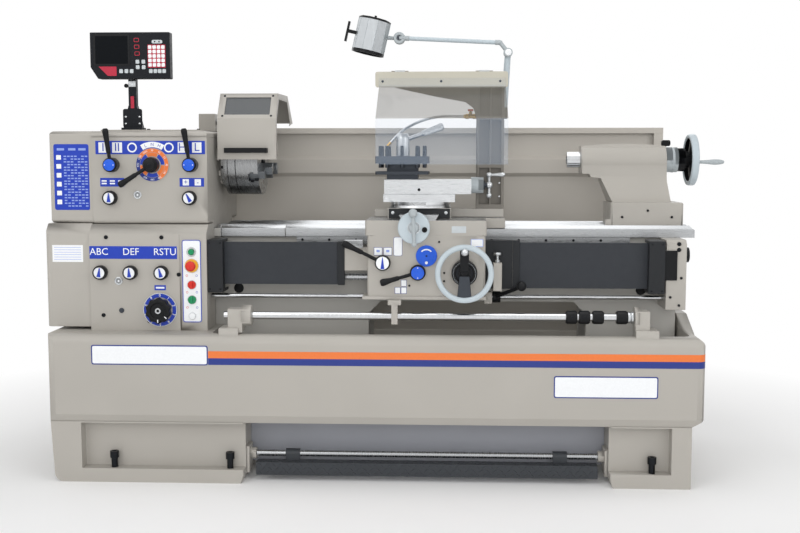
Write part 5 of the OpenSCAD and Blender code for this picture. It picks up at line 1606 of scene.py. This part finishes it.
@dataclass
class Carriage:
    """Saddle and apron with their plates, handwheels and levers."""

    face: float = -330.0
    wheel: Pair = (1424.0, 730.0)
    cross: Pair = (1255.0, 882.0)

    def build(self) -> None:
        """Dresses the castings and their controls."""
        saddle = Shape()
        saddle.skin("saddle", PAINT, 2.0, self.saddle_finish)
        saddle.plate((1381, 1430), (861, 884), self.face, KEY, 1.5, 0.8)
        saddle.settle("saddle_casting", "carriage", "saddle")
        apron = Shape()
        apron.skin("apron", PAINT, 1.8, self.apron_finish)
        self.plates(apron)
        apron.settle("apron_casting", "carriage", "apron")
        spots = ((1339, 831), (1238, 681), (1356, 725), (1356, 697), (1356, 664))
        places = [front(x, self.face, z) for x, z in spots]
        Scatter(SCREW).settle("apron_screws", "carriage", socket_screw(3.6), places)
        Lever("halfnut_lever", 1148, 760, -335.3, (27, 22, 22), -346.3, (1013, -369.3, 830),
              (6.5, 8, 13, 0.5), Pointer.WEDGE).build()
        Lever("feed_lever", 1267, 727, -335.3, (27, 22, 22), -346.3, (1141, -369.3, 693),
              (6.5, 8, 13, 0.5), Pointer.CAP_UPRIGHT).build()
        self.apron_wheel()
        self.cross_wheel()
        self.start_lever()
        self.thread_dial()

    def saddle_finish(self, centre: Vector, normal: Vector) -> Finish | None:
        """The dovetail and the flats beside it are ground."""
        return GROUND_Y if centre.z > 901 and abs(centre.x - 1269) < 118 else None

    def apron_finish(self, centre: Vector, normal: Vector) -> Finish | None:
        """Finish of the apron's added brackets by where they stand.

        Args:
            centre: Middle of a face.
            normal: Its outward direction, not used.

        Returns:
            Its finish, or nothing for the usual one.
        """
        x, y, z = centre
        if x < 1011 or x > 1591:
            return DARK
        if 1011 < x < 1077 and z > 804.5 and y < -236:
            return GROUND
        if 1497 < x < 1592 and y > -263 and z > 662:
            return DARK
        if y < self.face - 1 and math.hypot(x - 1296, z - 783) < 37:
            return BLUE_CAP
        return None

    def plates(self, shape: Shape) -> None:
        """Plain picture plates, a bare white plate and the marks on the oil pump's disc.

        Args:
            shape: The casting that carries it.
        """
        for x in (1117, 1150):
            shape.plate((x, x + 29), (784, 812), self.face, WHITE, 1.5, 0.6, NAVY, 1.4)
            shape.plate((x + 9, x + 20), (795, 803), self.face, PALE_BLUE, 1, 1.3)
        shape.plate((1184, 1214), (782, 847), self.face, WHITE, 5, 0.6, NAVY, 1.2)
        shape.plate((1446, 1488), (814, 841), self.face, WHITE, 2, 0.6, PALE_BLUE, 2)
        for xs, zs in (((1188, 1208), (653, 676)), ((1209, 1229), (653, 676)), ((1209, 1229), (678, 701))):
            shape.plate(xs, zs, self.face, WHITE, 1.5, 0.6, NAVY, 1.4)
        disc = front(1296, self.face - 6.8, 783)
        shape.sector(disc, (20, 24.5), (42, 138), 0.7, WHITE)
        shape.disc(disc @ Matrix.Translation((0, -23, 0)), 5, 0.7, WHITE, 0.2)
        shape.disc(disc, 3.2, 0.8, SCREW, 0.2)

    def apron_wheel(self) -> None:
        """Large handwheel: painted rim, black hub and spokes, bright knob."""
        shape = Shape()
        x, z = self.wheel
        back = self.face - 8.3
        place = front(x, back, z)
        rim = rectangle(79, 98, 58, 80, 7)
        shape.turn(place, rim, RIM, 96, wrap=True)
        hub = fillet([(14, 0), (41, 0), (43, 3), (43, 58), (40, 63), (31, 64), (30, 61), (14, 61), (12, 64), (0, 64)],
                     1.5)
        shape.turn(place, [(0, -52), (14, -52), *hub], BLACK, 72)
        shape.ring(place @ Matrix.Translation((0, 0, 60.5)), 22, 28, 1.2, SCREW, 0.3)
        shape.block((x - 15, x + 15), (back - 74, back - 62), (z + 8, z + 82), BLACK, 2.5)
        shape.slab(front(x, back - 62, z), fillet([(-17, -8), (17, -8), (24, -82), (-24, -82)], 3, 2, True), 12,
                   OXIDE, 2)
        knob = (x, back - 70, z + 76)
        shape.rod(knob, (x, -470, z + 76), [(0, 9), (0.15, 9), (0.4, 6.5), (1, 8)], SILVER, 2)
        shape.ball((x, -470, z + 76), 12, SILVER)
        shape.settle_as("apron_handwheel")
        tick = Shape()
        tick.slab(ORIGIN, rectangle(-0.5, 0.5, -3, 3), 0.5, WHITE, 0.1)
        ticks = [place @ Matrix.Rotation(2 * math.pi * i / 60, 4, "Z") @ Matrix.Translation((0, 36, 62.9))
                 for i in range(60)]
        Scatter(KEY).settle("apron_handwheel_marks", "apron_handwheel", tick, ticks)

    def cross_wheel(self) -> None:
        """Painted disc with a ball crank across it and one dark hole."""
        shape = Shape()
        x, z = self.cross
        y = self.face - 0.3
        place = front(x, y, z)
        plate = fillet([(17, 54), (50, 54), (54, 57), (54, 66), (51, 70), (0, 70)], 2)
        shape.turn(place, [(0, -44), (12, -44), (12, 0), (15.5, 0), (17, 2), *plate], RIM, 96)
        shape.turn(place, fillet([(0, 69), (17, 69), (17, 76), (16, 84), (11, 88), (0, 88)], 2), GREYPAINT)
        shape.ring(place @ Matrix.Translation((0, 0, 69.2)), 17.5, 21, 1.4, SILVER, 0.4)
        shape.rod((x, y - 84, z), (x - 2, y - 90, z + 50), [(0, 8), (0.5, 6.4), (1, 6)], GREYPAINT, 2)
        shape.rod((x, y - 84, z), (x + 2, y - 88, z - 54), [(0, 8), (0.5, 6), (1, 5)], GREYPAINT, 2)
        shape.ball((x - 2, y - 92, z + 50), 15, GREYPAINT)
        shape.ball((x + 2, y - 88, z - 54), 9, GREYPAINT)
        shape.turn(front(x + 36, y - 69, z - 6), [(0, 0), (9, 0), (9, 8), (8, 9), (6, 9), (5.6, 2), (0, 2)], BLACK, 32)
        shape.settle_as("cross_handwheel")

    def start_lever(self) -> None:
        """Black lever with a ball end on the control rod."""
        shape = Shape()
        hub = [(8.1, 0), (18, 0), (20, 2.5), (20, 25.5), (18, 28), (8.1, 28)]
        shape.turn(along(1524, -230, 632), hub, BLACK, wrap=True)
        shape.rod((1538, -244, 636), (1619, -322, 678), [(0, 8), (0.4, 6.4), (1, 6)], BLACK, 2)
        shape.ball((1619, -322, 680), 17, BLACK)
        shape.disc(front(1538, -249.2, 632), 4, 2, SCREW)
        shape.settle_as("start_lever")

    def thread_dial(self) -> None:
        """Small bright dial on a spindle with a marked top."""
        shape = Shape()
        shape.turn(up(1538, -286, 0), fillet(
            [(0, 730), (5, 730), (5, 757.3), (9, 757.3), (9, 766), (5, 766), (5, 782), (12, 782), (14, 784), (14, 790),
             (12.5, 792), (0, 792)], 0.8), SILVER)
        for i in range(8):
            mark = up(1538, -286, 791.6, 45 * i)
            shape.slab(mark, rectangle(6, 11, -0.6, 0.6), 0.6, SCREW, 0.1)
        shape.settle_as("thread_dial")


@dataclass
class CrossSlide:
    """Cross slide with its wiper plate, the guard's post and the coolant line."""

    x: float = 1269.0
    face: float = -236.0
    valve_z: float = 1262.0

    def build(self) -> None:
        """Dresses slide, post and coolant line."""
        shape = Shape()

        def finish(centre: Vector, normal: Vector) -> Finish | None:
            """The slide's working top is ground."""
            return GROUND_Y if centre.z > 940.5 and abs(centre.x - self.x) < 109 else None

        shape.skin("cross_slide", PAINT, 1.6, finish)
        shape.block((self.x - 106, self.x + 106), (self.face - 5, self.face + 1), (905, 939), DARK, 1.2)
        shape.settle("cross_slide_casting", "cross_slide", "cross_slide")
        places = [front(self.x + dx, self.face - 5, 925) for dx in (-92, 92)]
        Scatter(SILVER).settle("cross_slide_screws", "cross_slide", pan_screw(5.5), places)
        post = Shape()
        # The post takes the darker copy of the machine paint, as painted shade.
        post.skin("guard_post", POST_PAINTED_SHADE, 1.2, lambda c, n: RIM if c.x > 1551 and c.y > -49 else None)
        for z in (978, 1026):
            post.disc(front(1550, -109.8, z), 3, 1.2, SILVER, 0.3)
        post.settle("guard_post_casting", "cross_slide", "guard_post")
        self.coolant_line()

    def coolant_line(self) -> None:
        """Stiff bright gooseneck from a brass valve with a red tap."""
        shape = Shape()
        z, x = self.valve_z, self.x
        route = [(x + 159, -80, z), (x + 71, -60, z + 1), (x - 4, -20, z - 15), (x - 69, 35, z - 47),
                 (x - 114, 45, z - 90), (x - 132, 45, z - 112)]
        shape.tube(route, 5.2, SILVER)
        shape.rod(route[-2], route[-1], [(0, 5.6), (0.75, 5.6), (0.8, 4.4), (1, 3.6)], BRASS, 1)
        shape.rod((x + 153, -80, z), (x + 199, -80, z),
                  [(0, 6.5), (0.14, 6.5), (0.16, 9), (0.4, 9), (0.42, 7.4), (0.7, 7.4), (0.72, 9), (1, 9)], BRASS, 0.8)
        shape.rod((x + 178, -80, z), (x + 178, -80, z + 22), [(0, 6), (0.7, 6), (0.75, 4), (1, 4)], BRASS, 0.6)
        shape.block((x + 168, x + 188), (-84, -76), (z + 18, z + 26), RED, 2)
        shape.settle("coolant_gooseneck", "cross_slide", "coolant_pipe")


@dataclass
class Compound:
    """Compound rest: swivel base, top slide, handle, tool post and its clamp lever."""

    x: float = 1269.0
    y: float = -160.0
    post_x: float = 1209.0
    slide_top: float = 1040.0

    def build(self) -> None:
        """Dresses the slides and the post."""
        dress("compound_base_dressed", "compound", "compound_base", BRIGHT, 1.2)
        tick = Shape()
        tick.slab(ORIGIN, rectangle(-0.4, 0.4, 0, 7), 0.4, SCREW, 0.1, -0.1)
        ticks = []
        for i in range(61):
            a = math.radians(-150 + 2 * i)
            spot = (self.x + 104 * math.cos(a), self.y + 104 * math.sin(a), 947)
            ticks.append(Matrix.Translation(spot) @ Matrix.Rotation(a + math.pi / 2, 4, "Z")
                         @ Matrix.Rotation(math.pi / 2, 4, "X"))
        Scatter(SCREW).settle("compound_base_marks", "compound", tick, ticks)
        slide = Shape()
        slide.skin("top_slide", BRIGHT, 1.2, self.slide_finish)
        slide.disc(front(self.x - 2, self.y - 55, 1004), 5, 2.4, SCREW, 0.5)
        slide.ring(along(1448.6, self.y, 1019), 20, 28.3, 26, GREYPAINT)
        slide.settle_as("top_slide")
        self.handle()
        self.tool_post()

    def slide_finish(self, centre: Vector, normal: Vector) -> Finish | None:
        """The screw boss is painted grey, and the post is turned."""
        post = TURNED if centre.z > self.slide_top + 1 else None
        return GREYPAINT if centre.x > 1449.5 else post

    def handle(self) -> None:
        """Ball handle of the top slide's screw."""
        shape = Shape()
        x, y, z = 1512.0, self.y, 1019.0
        shape.turn(along(0, y, z), fillet([(0, 1433), (8, 1433), (8, 1492.3), (15, 1492.3), (16, 1493.5), (16, 1497),
                                           (8, 1498), (8, x), (0, x)], 0.8), OXIDE)
        shape.ball((x, y, z), 13, SILVER)
        shape.rod((x, y, z - 36), (x, y, z + 36), [(0, 5.5), (0.5, 5), (1, 5.5)], SILVER, 1)
        for side in (-36, 36):
            shape.ball((x, y, z + side), 10, SILVER)
        shape.rod((x, y, z + 36), (x + 56, y, z + 37), [(0, 5), (0.3, 5), (0.6, 7.6), (0.85, 8), (1, 4)], SILVER, 6)
        shape.settle_as("compound_handle")

    def tool_post(self) -> None:
        """Four-way post with its clamp screws, and the pale clamp lever."""
        top = self.slide_top
        dress("toolpost_dressed", "toolpost", "toolpost", OXIDE, 0.9, lambda c, n: SCREW if c.z > top + 82 else None)
        lever = Shape()
        lever.turn(up(self.post_x, self.y, top), [(14.1, 80.3), (23, 80.3), (24, 82), (24, 140), (21, 149),
                                                  (18, 158), (15, 160), (0, 160)], SILVER, 56)
        lever.rod((self.post_x, self.y, top + 134), (self.post_x + 142, self.y + 8, top + 186),
                  [(0, 7.5), (0.46, 7.5), (0.5, 11), (0.7, 12), (0.95, 14), (1, 11)], SILVER, 5)
        lever.settle_as("toolpost_lever")


@dataclass
class ToolGuard:
    """Hinged strip with a folded clear sheet in front of the tool."""

    xs: Pair = (1109.0, 1578.0)
    hinge: Pair = (-112.0, 1418.0)
    mast_top: float = 1405.0
    hinge_xs: Pair = (1196.0, 1494.0)

    def build(self) -> None:
        """Makes strip, sheet, hinges and screws."""
        y, z = self.hinge
        top = self.mast_top
        x0, x1 = self.xs
        strip = Shape()
        strip.slab(front(0, y - 3.5, 0), fillet([(x0, top - 42), (x1, top - 42), (x1, z), (x0, z)], 9, 4, True), 2.5,
                   CREAM, 0.8)
        for x in self.hinge_xs:
            for low, high in ((-18, -7), (-6, 6), (7, 18)):
                strip.turn(along(x, y, z), [(3.05, low), (5.4, low), (6, low + 0.6), (6, high - 0.6), (5.4, high),
                                            (3.05, high)], SILVER, 24, wrap=True)
            strip.block((x - 18, x + 18), (y - 6.4, y - 0.5), (z + 0.5, z + 5), SILVER, 0.8)
        strip.settle("tool_guard_strip", "tool_guard", "tool_guard")
        sheet = Shape()
        fold = [(y - 7, top - 10), (y - 7, top - 41), (-312, top - 160), (-312, top - 313)]
        line = fillet(fold, 14, 6)
        rings = []
        for x in (x0 + 13, x1 - 8):
            rings.append([(x, a - 2, b) for a, b in line] + [(x, a + 2, b) for a, b in reversed(line)])
        sheet.loft(rings, CLEAR)
        # The sloped faces take the grey veil of painted reflection in place of the clear finish.
        painted_reflection_slot = sheet.index(CLEAR_SLOPE_PAINTED_REFLECTION)
        for face in sheet.bm.faces:
            if top - 158 < face.calc_center_median().z < top - 40:
                face.material_index = painted_reflection_slot
        sheet.settle("tool_guard_sheet", "tool_guard", "tool_guard")
        places = [front(x, y - 6, top - 21) for x in (1135, 1342, 1550)]
        Scatter(SCREW).settle("tool_guard_screws", "tool_guard", pan_screw(4.4), places)


@dataclass
class Lamp:
    """Work lamp: jointed arm, knuckle and a ten-sided can with black rims."""

    y: float = -45.0
    elbow: Pair = (1580.0, 1489.0)
    knuckle: Pair = (1191.0, 1542.0)
    tilt: float = 13.0

    def build(self) -> None:
        """Dresses arm and head."""
        arm = Shape()
        y = self.y - 10
        (ex, ez), (kx, kz) = self.elbow, self.knuckle
        bend = (ex - 29, y, ez + 35)
        arm.turn(front(ex, self.y - 0.3, ez), [(5.1, 0), (15, 0), (16, 1.5), (16, 16), (14, 17.7), (5.1, 17.7)],
                 GREYPAINT, wrap=True)
        arm.disc(front(ex, self.y - 17.9, ez), 12, 4, WHITE, 2)
        arm.rod((ex, y, ez), bend, [(0, 7.5), (1, 7.5)], GREYPAINT, 1)
        arm.ball(bend, 9, GREYPAINT)
        along_arm = Vector((kx, y, kz)) - Vector(bend)
        near = Vector(bend) + along_arm * 0.05
        far = Vector(bend) + along_arm * 0.9
        arm.rod(bend, near, [(0, 9), (1, 9)], GREYPAINT, 1)
        arm.rod(bend, (kx, y, kz), [(0, 7.6), (1, 7.6)], RIM, 1)
        arm.rod(far, (kx, y, kz), [(0, 9), (1, 9)], GREYPAINT, 1)
        arm.turn(front(kx, self.y - 0.3, kz), fillet([(6, 0), (20, 0), (21, 1.5), (21, 15), (19, 17.7), (11, 17.7),
                                                      (10, 15), (0, 15)], 1), GREYPAINT, 64)
        arm.disc(front(kx, self.y - 14.8, kz), 9, 2.4, OXIDE)
        arm.settle_as("lamp_arm")
        self.head()

    def head(self) -> None:
        """Ten-sided can with facet seams, black rims, lens and handle."""
        kx, kz = self.knuckle
        shape = Shape()
        can = Matrix.Translation((kx - 101, self.y, kz + 6)) @ Matrix.Rotation(math.radians(self.tilt), 4, "Y")
        near = can.inverted()

        def finish(centre: Vector, normal: Vector) -> Finish | None:
            """Handle, top and inside are black, and the knuckle is grey.

            Args:
                centre: Middle of a face.
                normal: Its outward direction, not used.

            Returns:
                Its finish, or nothing for the usual one.
            """
            spot = near @ centre
            if centre.x > kx - 50:
                return GREYPAINT
            if spot.x < -56 or spot.z > 59.5 or math.hypot(spot.x, spot.y) < 52:
                return BLACK
            return None

        shape.skin("lamp_head", LAMP_SHELL, 0.8, finish)
        for low, high, r in ((-62.6, -52, 58.8), (57, 62.4, 58.6)):
            ten = [(r, low), (r, high), (r - 6, high), (r - 6, low)]
            shape.turn(can, ten, BLACK, 10, wrap=True)
        for i in range(10):
            a = 2 * math.pi * i / 10
            spot = can @ Matrix.Translation((57.9 * math.cos(a), 57.9 * math.sin(a), 0))
            shape.block((-0.9, 0.9), (-0.9, 0.9), (-52, 57), GREYPAINT, 0.3, spot)
        shape.turn(can, [(0, -57), (30, -56), (50.5, -53), (50.5, -50), (0, -50)], GLASS, 48)
        shape.settle_as("lamp_head")


@dataclass
class Tailstock:
    """Tailstock casting with quill, handwheel and clamp."""

    x: float = 1947.0
    z: float = 1108.0

    def build(self) -> None:
        """Dresses casting, quill, wheel and lock."""
        shape = Shape()
        shape.skin("tailstock", PAINT, 5.0, self.casting_finish)
        shape.turn(along(self.x + 247, 0, self.z), [(45.2, -20), (46, -19), (46, -12), (45.2, -11)], GREYPAINT, 72,
                   wrap=True)
        shape.settle("tailstock_casting", "tailstock", "tailstock")
        places = [front(self.x + 130, -105, 928), front(self.x + 40, -105, 905), front(self.x + 215, -105, 905)]
        Scatter(SCREW).settle("tailstock_screws", "tailstock", socket_screw(4.4), places)
        quill = Shape()
        x0 = self.x - 149
        bar = [(15.9, x0), (27, x0), (28.5, x0 + 1.5), (28.5, self.x + 140), (15, self.x + 140), (15, self.x - 10),
               (12.7, x0 + 120)]
        quill.turn(along(0, 0, self.z), bar, CHROME, 72, wrap=True)
        quill.settle_as("quill")
        self.wheel()
        dress("quill_lock_dressed", "quill_lock", "quill_lock", BLACK, 1.5)

    def casting_finish(self, centre: Vector, normal: Vector) -> Finish | None:
        """The feed dial is grey and its collar is dark."""
        dial = GREYPAINT if centre.x > self.x + 206.5 and centre.z > 1050 else None
        return BLACK if centre.x > self.x + 246.5 and centre.z > 1000 else dial

    def wheel(self) -> None:
        """Dished handwheel, dark inside, with a turned handle."""
        shape = Shape()
        x = self.x + 274.3
        place = along(0, 0, self.z)
        rim = fillet([(71, x + 38), (93, x + 38), (93, x + 12), (77, x + 12), (77, x + 30)], 7, 4)
        dish = [(0, x + 38), (70, x + 38), *rim, (32, x + 30), (32, x + 32), (0, x + 32)]
        shape.turn(place, dish, RIM, 96)
        lining = [(77.2, x + 15), (76.4, x + 15), (76.4, x + 29), (32, x + 29), (32, x + 29.6), (77.2, x + 29.6)]
        shape.turn(place, lining, BLACK, 96, wrap=True)
        hub = [(0, self.x + 25), (14, self.x + 25), (14, x), (30, x), (30, x + 34), (0, x + 34)]
        shape.turn(place, fillet(hub, 1.5), BLACK)
        for i in range(3):
            spoke = Matrix.Translation((x, 0, self.z)) @ Matrix.Rotation(math.radians(30 + 120 * i), 4, "X")
            shape.block((14, 31), (-12, 12), (24, 78), BLACK, 3, spoke)
        shape.disc(along(x + 37.6, 0, self.z), 24, 2.2, GREYPAINT, 1)
        grip = [(0, 6), (0.14, 6), (0.3, 7), (0.62, 10), (0.8, 9.4), (0.94, 7), (1, 4)]
        shape.rod((x + 37, -68, self.z - 8), (2349, -68, self.z - 8), grip, GREYPAINT, 6)
        shape.settle_as("tailstock_wheel")


@dataclass
class Readout:
    """Digital readout on its mast: screen, keys and keypad."""

    face: float = -243.0
    red_keys: tuple = ((291.5, 1519.0), (292.5, 1496.0), (293.5, 1473.0))
    grey_keys: tuple = ((294.0, 1445.0), (314.6, 1445.0), (294.6, 1426.5), (315.2, 1426.5), (236.0, 1413.0),
                        (254.6, 1413.0), (273.0, 1413.0), (340.0, 1413.0), (356.0, 1413.0), (371.0, 1413.0),
                        (386.5, 1413.0))

    def build(self) -> None:
        """Dresses mast and case."""
        mast = Shape()
        mast.skin("readout_mast", CASE, 1.2)
        bracket = fillet([(225, 1220), (293, 1220), (293, 1286), (225, 1286)], 8, 3, True)
        mast.slab(front(0, -194.6, 0), bracket, 3.4, CASE, 0.8)
        mast.plate((253, 265), (1288, 1330), -195, CRIMSON, 1, 0.8)
        mast.ring(along(241, -185, 1417), 6.2, 12, 3.4, SILVER)
        mast.block((246, 272), (-199, -190), (1362, 1384), SILVER, 2)
        mast.disc(front(240, -196, 1366), 7, 9, BLACK, 2)
        mast.settle("readout_mast_dressed", "machine", "readout_mast")
        places = [front(x, -198, z) for x in (235, 284) for z in (1234, 1258)]
        Scatter(SILVER).settle("readout_mast_screws", "machine", pan_screw(3.6), places)
        self.case()

    def case(self) -> None:
        """Case with a sunk screen, plain red plate and rows of keys."""
        shape = Shape()
        shape.skin("readout_head", CASE, 3.0)
        face = self.face
        shape.plate((140, 268), (1432, 1540), face, BLACK, 3, 1.0)
        shape.plate((147, 261), (1438, 1533), face, SCREEN, 2, 1.3)
        corner = [(157, 1429), (220, 1429), (220, 1397), (189, 1397)]
        shape.slab(front(0, face + 0.2, 0), fillet(corner, 2, 2, True), 1.0, CRIMSON)
        shape.plate((330, 392), (1425, 1503), face, CRIMSON, 2, 0.8)
        for x, z in self.red_keys:
            shape.plate((x - 9, x + 9), (z - 7, z + 7), face, BLACK, 3, 1.4, CRIMSON, 2)
        shape.slab(front(0, face, 0), rectangle(345, 382, 1507, 1519, 5.5), 1.8, KEY, 0.5)
        for x in (356, 371):
            shape.disc(front(x, face - 1.6, 1513), 2.6, 0.6, SCREEN, 0.2)
        shape.settle("readout_case", "readout_head", "readout_head")
        key = Shape()
        key.slab(ORIGIN, rectangle(-6, 6, -6.2, 6.2, 2.4), 2.2, KEY, 0.7, -0.3)
        pad = [(338 + 15.3 * i, 1434 + 15.1 * j) for i in range(4) for j in range(5)]
        places = [front(x, face - 0.5, z) for x, z in pad]
        Scatter(WHITE).settle("readout_keypad", "readout_head", key, places)
        key = Shape()
        key.slab(ORIGIN, rectangle(-6.4, 6.4, -6.8, 6.8, 2.4), 2.0, KEY, 0.6, -0.3)
        places = [front(x, face, z) for x, z in self.grey_keys]
        Scatter(KEY).settle("readout_keys", "readout_head", key, places)


@dataclass
class Studio:
    """Camera, pale floor and soft light."""

    camera_at: Point = (0.2155, -3.984, 1.105)
    camera_turn: Point = (84.5, 0.0, 2.6)
    lens: float = 49.5
    sensor: float = 36.0
    world_light: float = 0.54
    floor_reach: float = 40.0
    floor_fade: Pair = (1.5, 2.6)
    aimed_at: Point = (0.0, 0.0, 0.8)
    lights: tuple = (
        ("key_softbox", (-2.6, -4.2, 3.6), 3.4, 46.0),
        ("fill_softbox", (3.4, -3.6, 2.6), 3.0, 28.0),
        ("top_softbox", (0.0, -0.4, 4.6), 4.0, 46.0),
        ("rear_softbox", (0.6, 4.2, 3.2), 3.4, 30.0),
        ("front_softbox", (0.3, -5.6, 1.7), 3.0, 80.0),
    )

    def build(self) -> None:
        """Sets the camera first, then light, world and floor."""
        bpy.context.scene.view_settings.view_transform = "Standard"
        camera = placed("camera", bpy.data.cameras.new("camera"))
        camera.data.lens, camera.data.sensor_width = self.lens, self.sensor
        camera.location = self.camera_at
        camera.rotation_euler = Euler([math.radians(a) for a in self.camera_turn])
        bpy.context.scene.camera = camera
        for name, place, size, power in self.lights:
            lamp = bpy.data.lights.new(name, "AREA")
            lamp.shape, lamp.size, lamp.energy = "DISK", size, power
            holder = placed(name, lamp)
            holder.location = place
            holder.visible_glossy = name != "front_softbox"
            holder.rotation_euler = (Vector(self.aimed_at) - Vector(place)).to_track_quat("-Z", "Y").to_euler()
        self.world()
        self.floor()

    def world(self) -> None:
        """White to the camera and in reflections, softer as a light."""
        world = bpy.data.worlds.new("studio")
        bpy.context.scene.world = world
        world.use_nodes = True
        tree = world.node_tree
        shade = tree.nodes["Background"]
        shade.inputs["Color"].default_value = (1.0, 1.0, 1.0, 1.0)
        path = tree.nodes.new("ShaderNodeLightPath")
        seen = path.outputs["Is Camera Ray"]
        for name in ("Is Glossy Ray", "Is Transmission Ray"):
            either = tree.nodes.new("ShaderNodeMath")
            either.operation = "MAXIMUM"
            tree.links.new(seen, either.inputs[0])
            tree.links.new(path.outputs[name], either.inputs[1])
            seen = either.outputs[0]
        strength = tree.nodes.new("ShaderNodeMapRange")
        strength.inputs["To Min"].default_value = self.world_light
        strength.inputs["To Max"].default_value = 1.0
        tree.links.new(seen, strength.inputs["Value"])
        tree.links.new(strength.outputs["Result"], shade.inputs["Strength"])

    def floor(self) -> None:
        """Large pale floor that keeps the shadow."""
        mesh = bpy.data.meshes.new("floor")
        reach = self.floor_reach
        mesh.from_pydata([(-reach, -reach, 0), (reach, -reach, 0), (reach, reach, 0), (-reach, reach, 0)], [],
                         [(0, 1, 2, 3)])
        floor = placed("floor", mesh)
        material = bpy.data.materials.new("pale_floor")
        material.use_nodes = True
        bench = Bench(material)
        bench.fix(Specular_IOR_Level=0.1)
        bench.colour(bench.noise(2.0), linear("#f7f7f7"), linear("#fbfbfb"))
        bench.rough(bench.noise(8.0), 0.7, 0.85)
        self.fade(bench)
        mesh.materials.append(material)

    def fade(self, bench: Bench) -> None:
        """Lets the floor turn white to the camera away from the machine.

        Args:
            bench: Nodes of the floor's material.
        """
        tree = bench.tree
        distance = bench.node("VectorMath")
        distance.operation = "LENGTH"
        near, far = self.floor_fade
        share = bench.node("MapRange", From_Min=near, From_Max=far)
        seen = bench.node("Math")
        seen.operation = "MULTIPLY"
        white = bench.node("Emission", Color=(1.0, 1.0, 1.0, 1.0))
        mix, path = bench.node("MixShader"), bench.node("LightPath")
        for source, target in (
            (bench.coords, distance.inputs[0]), (distance.outputs["Value"], share.inputs["Value"]),
            (share.outputs["Result"], seen.inputs[0]), (path.outputs["Is Camera Ray"], seen.inputs[1]),
            (seen.outputs[0], mix.inputs[0]), (bench.shader.outputs[0], mix.inputs[1]),
            (white.outputs[0], mix.inputs[2]), (mix.outputs[0], tree.nodes["Material Output"].inputs["Surface"]),
        ):
            tree.links.new(source, target)


def main() -> None:
    """Loads the frame, builds each sub-assembly in order and logs each one as it is built."""
    logging.basicConfig(level=logging.INFO, format="%(name)s: %(message)s")
    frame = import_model()
    Machine.settle(frame)
    Studio().build()
    assemblies = (Base(), BrakePedal(), Bed(), Headstock(), EndCover(), FeedGearbox(), Chuck(), Rods(), EndBracket(),
                  RollCovers(), Carriage(), CrossSlide(), Compound(), ToolGuard(), Lamp(), Tailstock(), Readout())
    for assembly in assemblies:
        assembly.build()
        LOG.info("%s is built", type(assembly).__name__)
    bpy.context.view_layer.update()


if __name__ == "__main__":
    main()
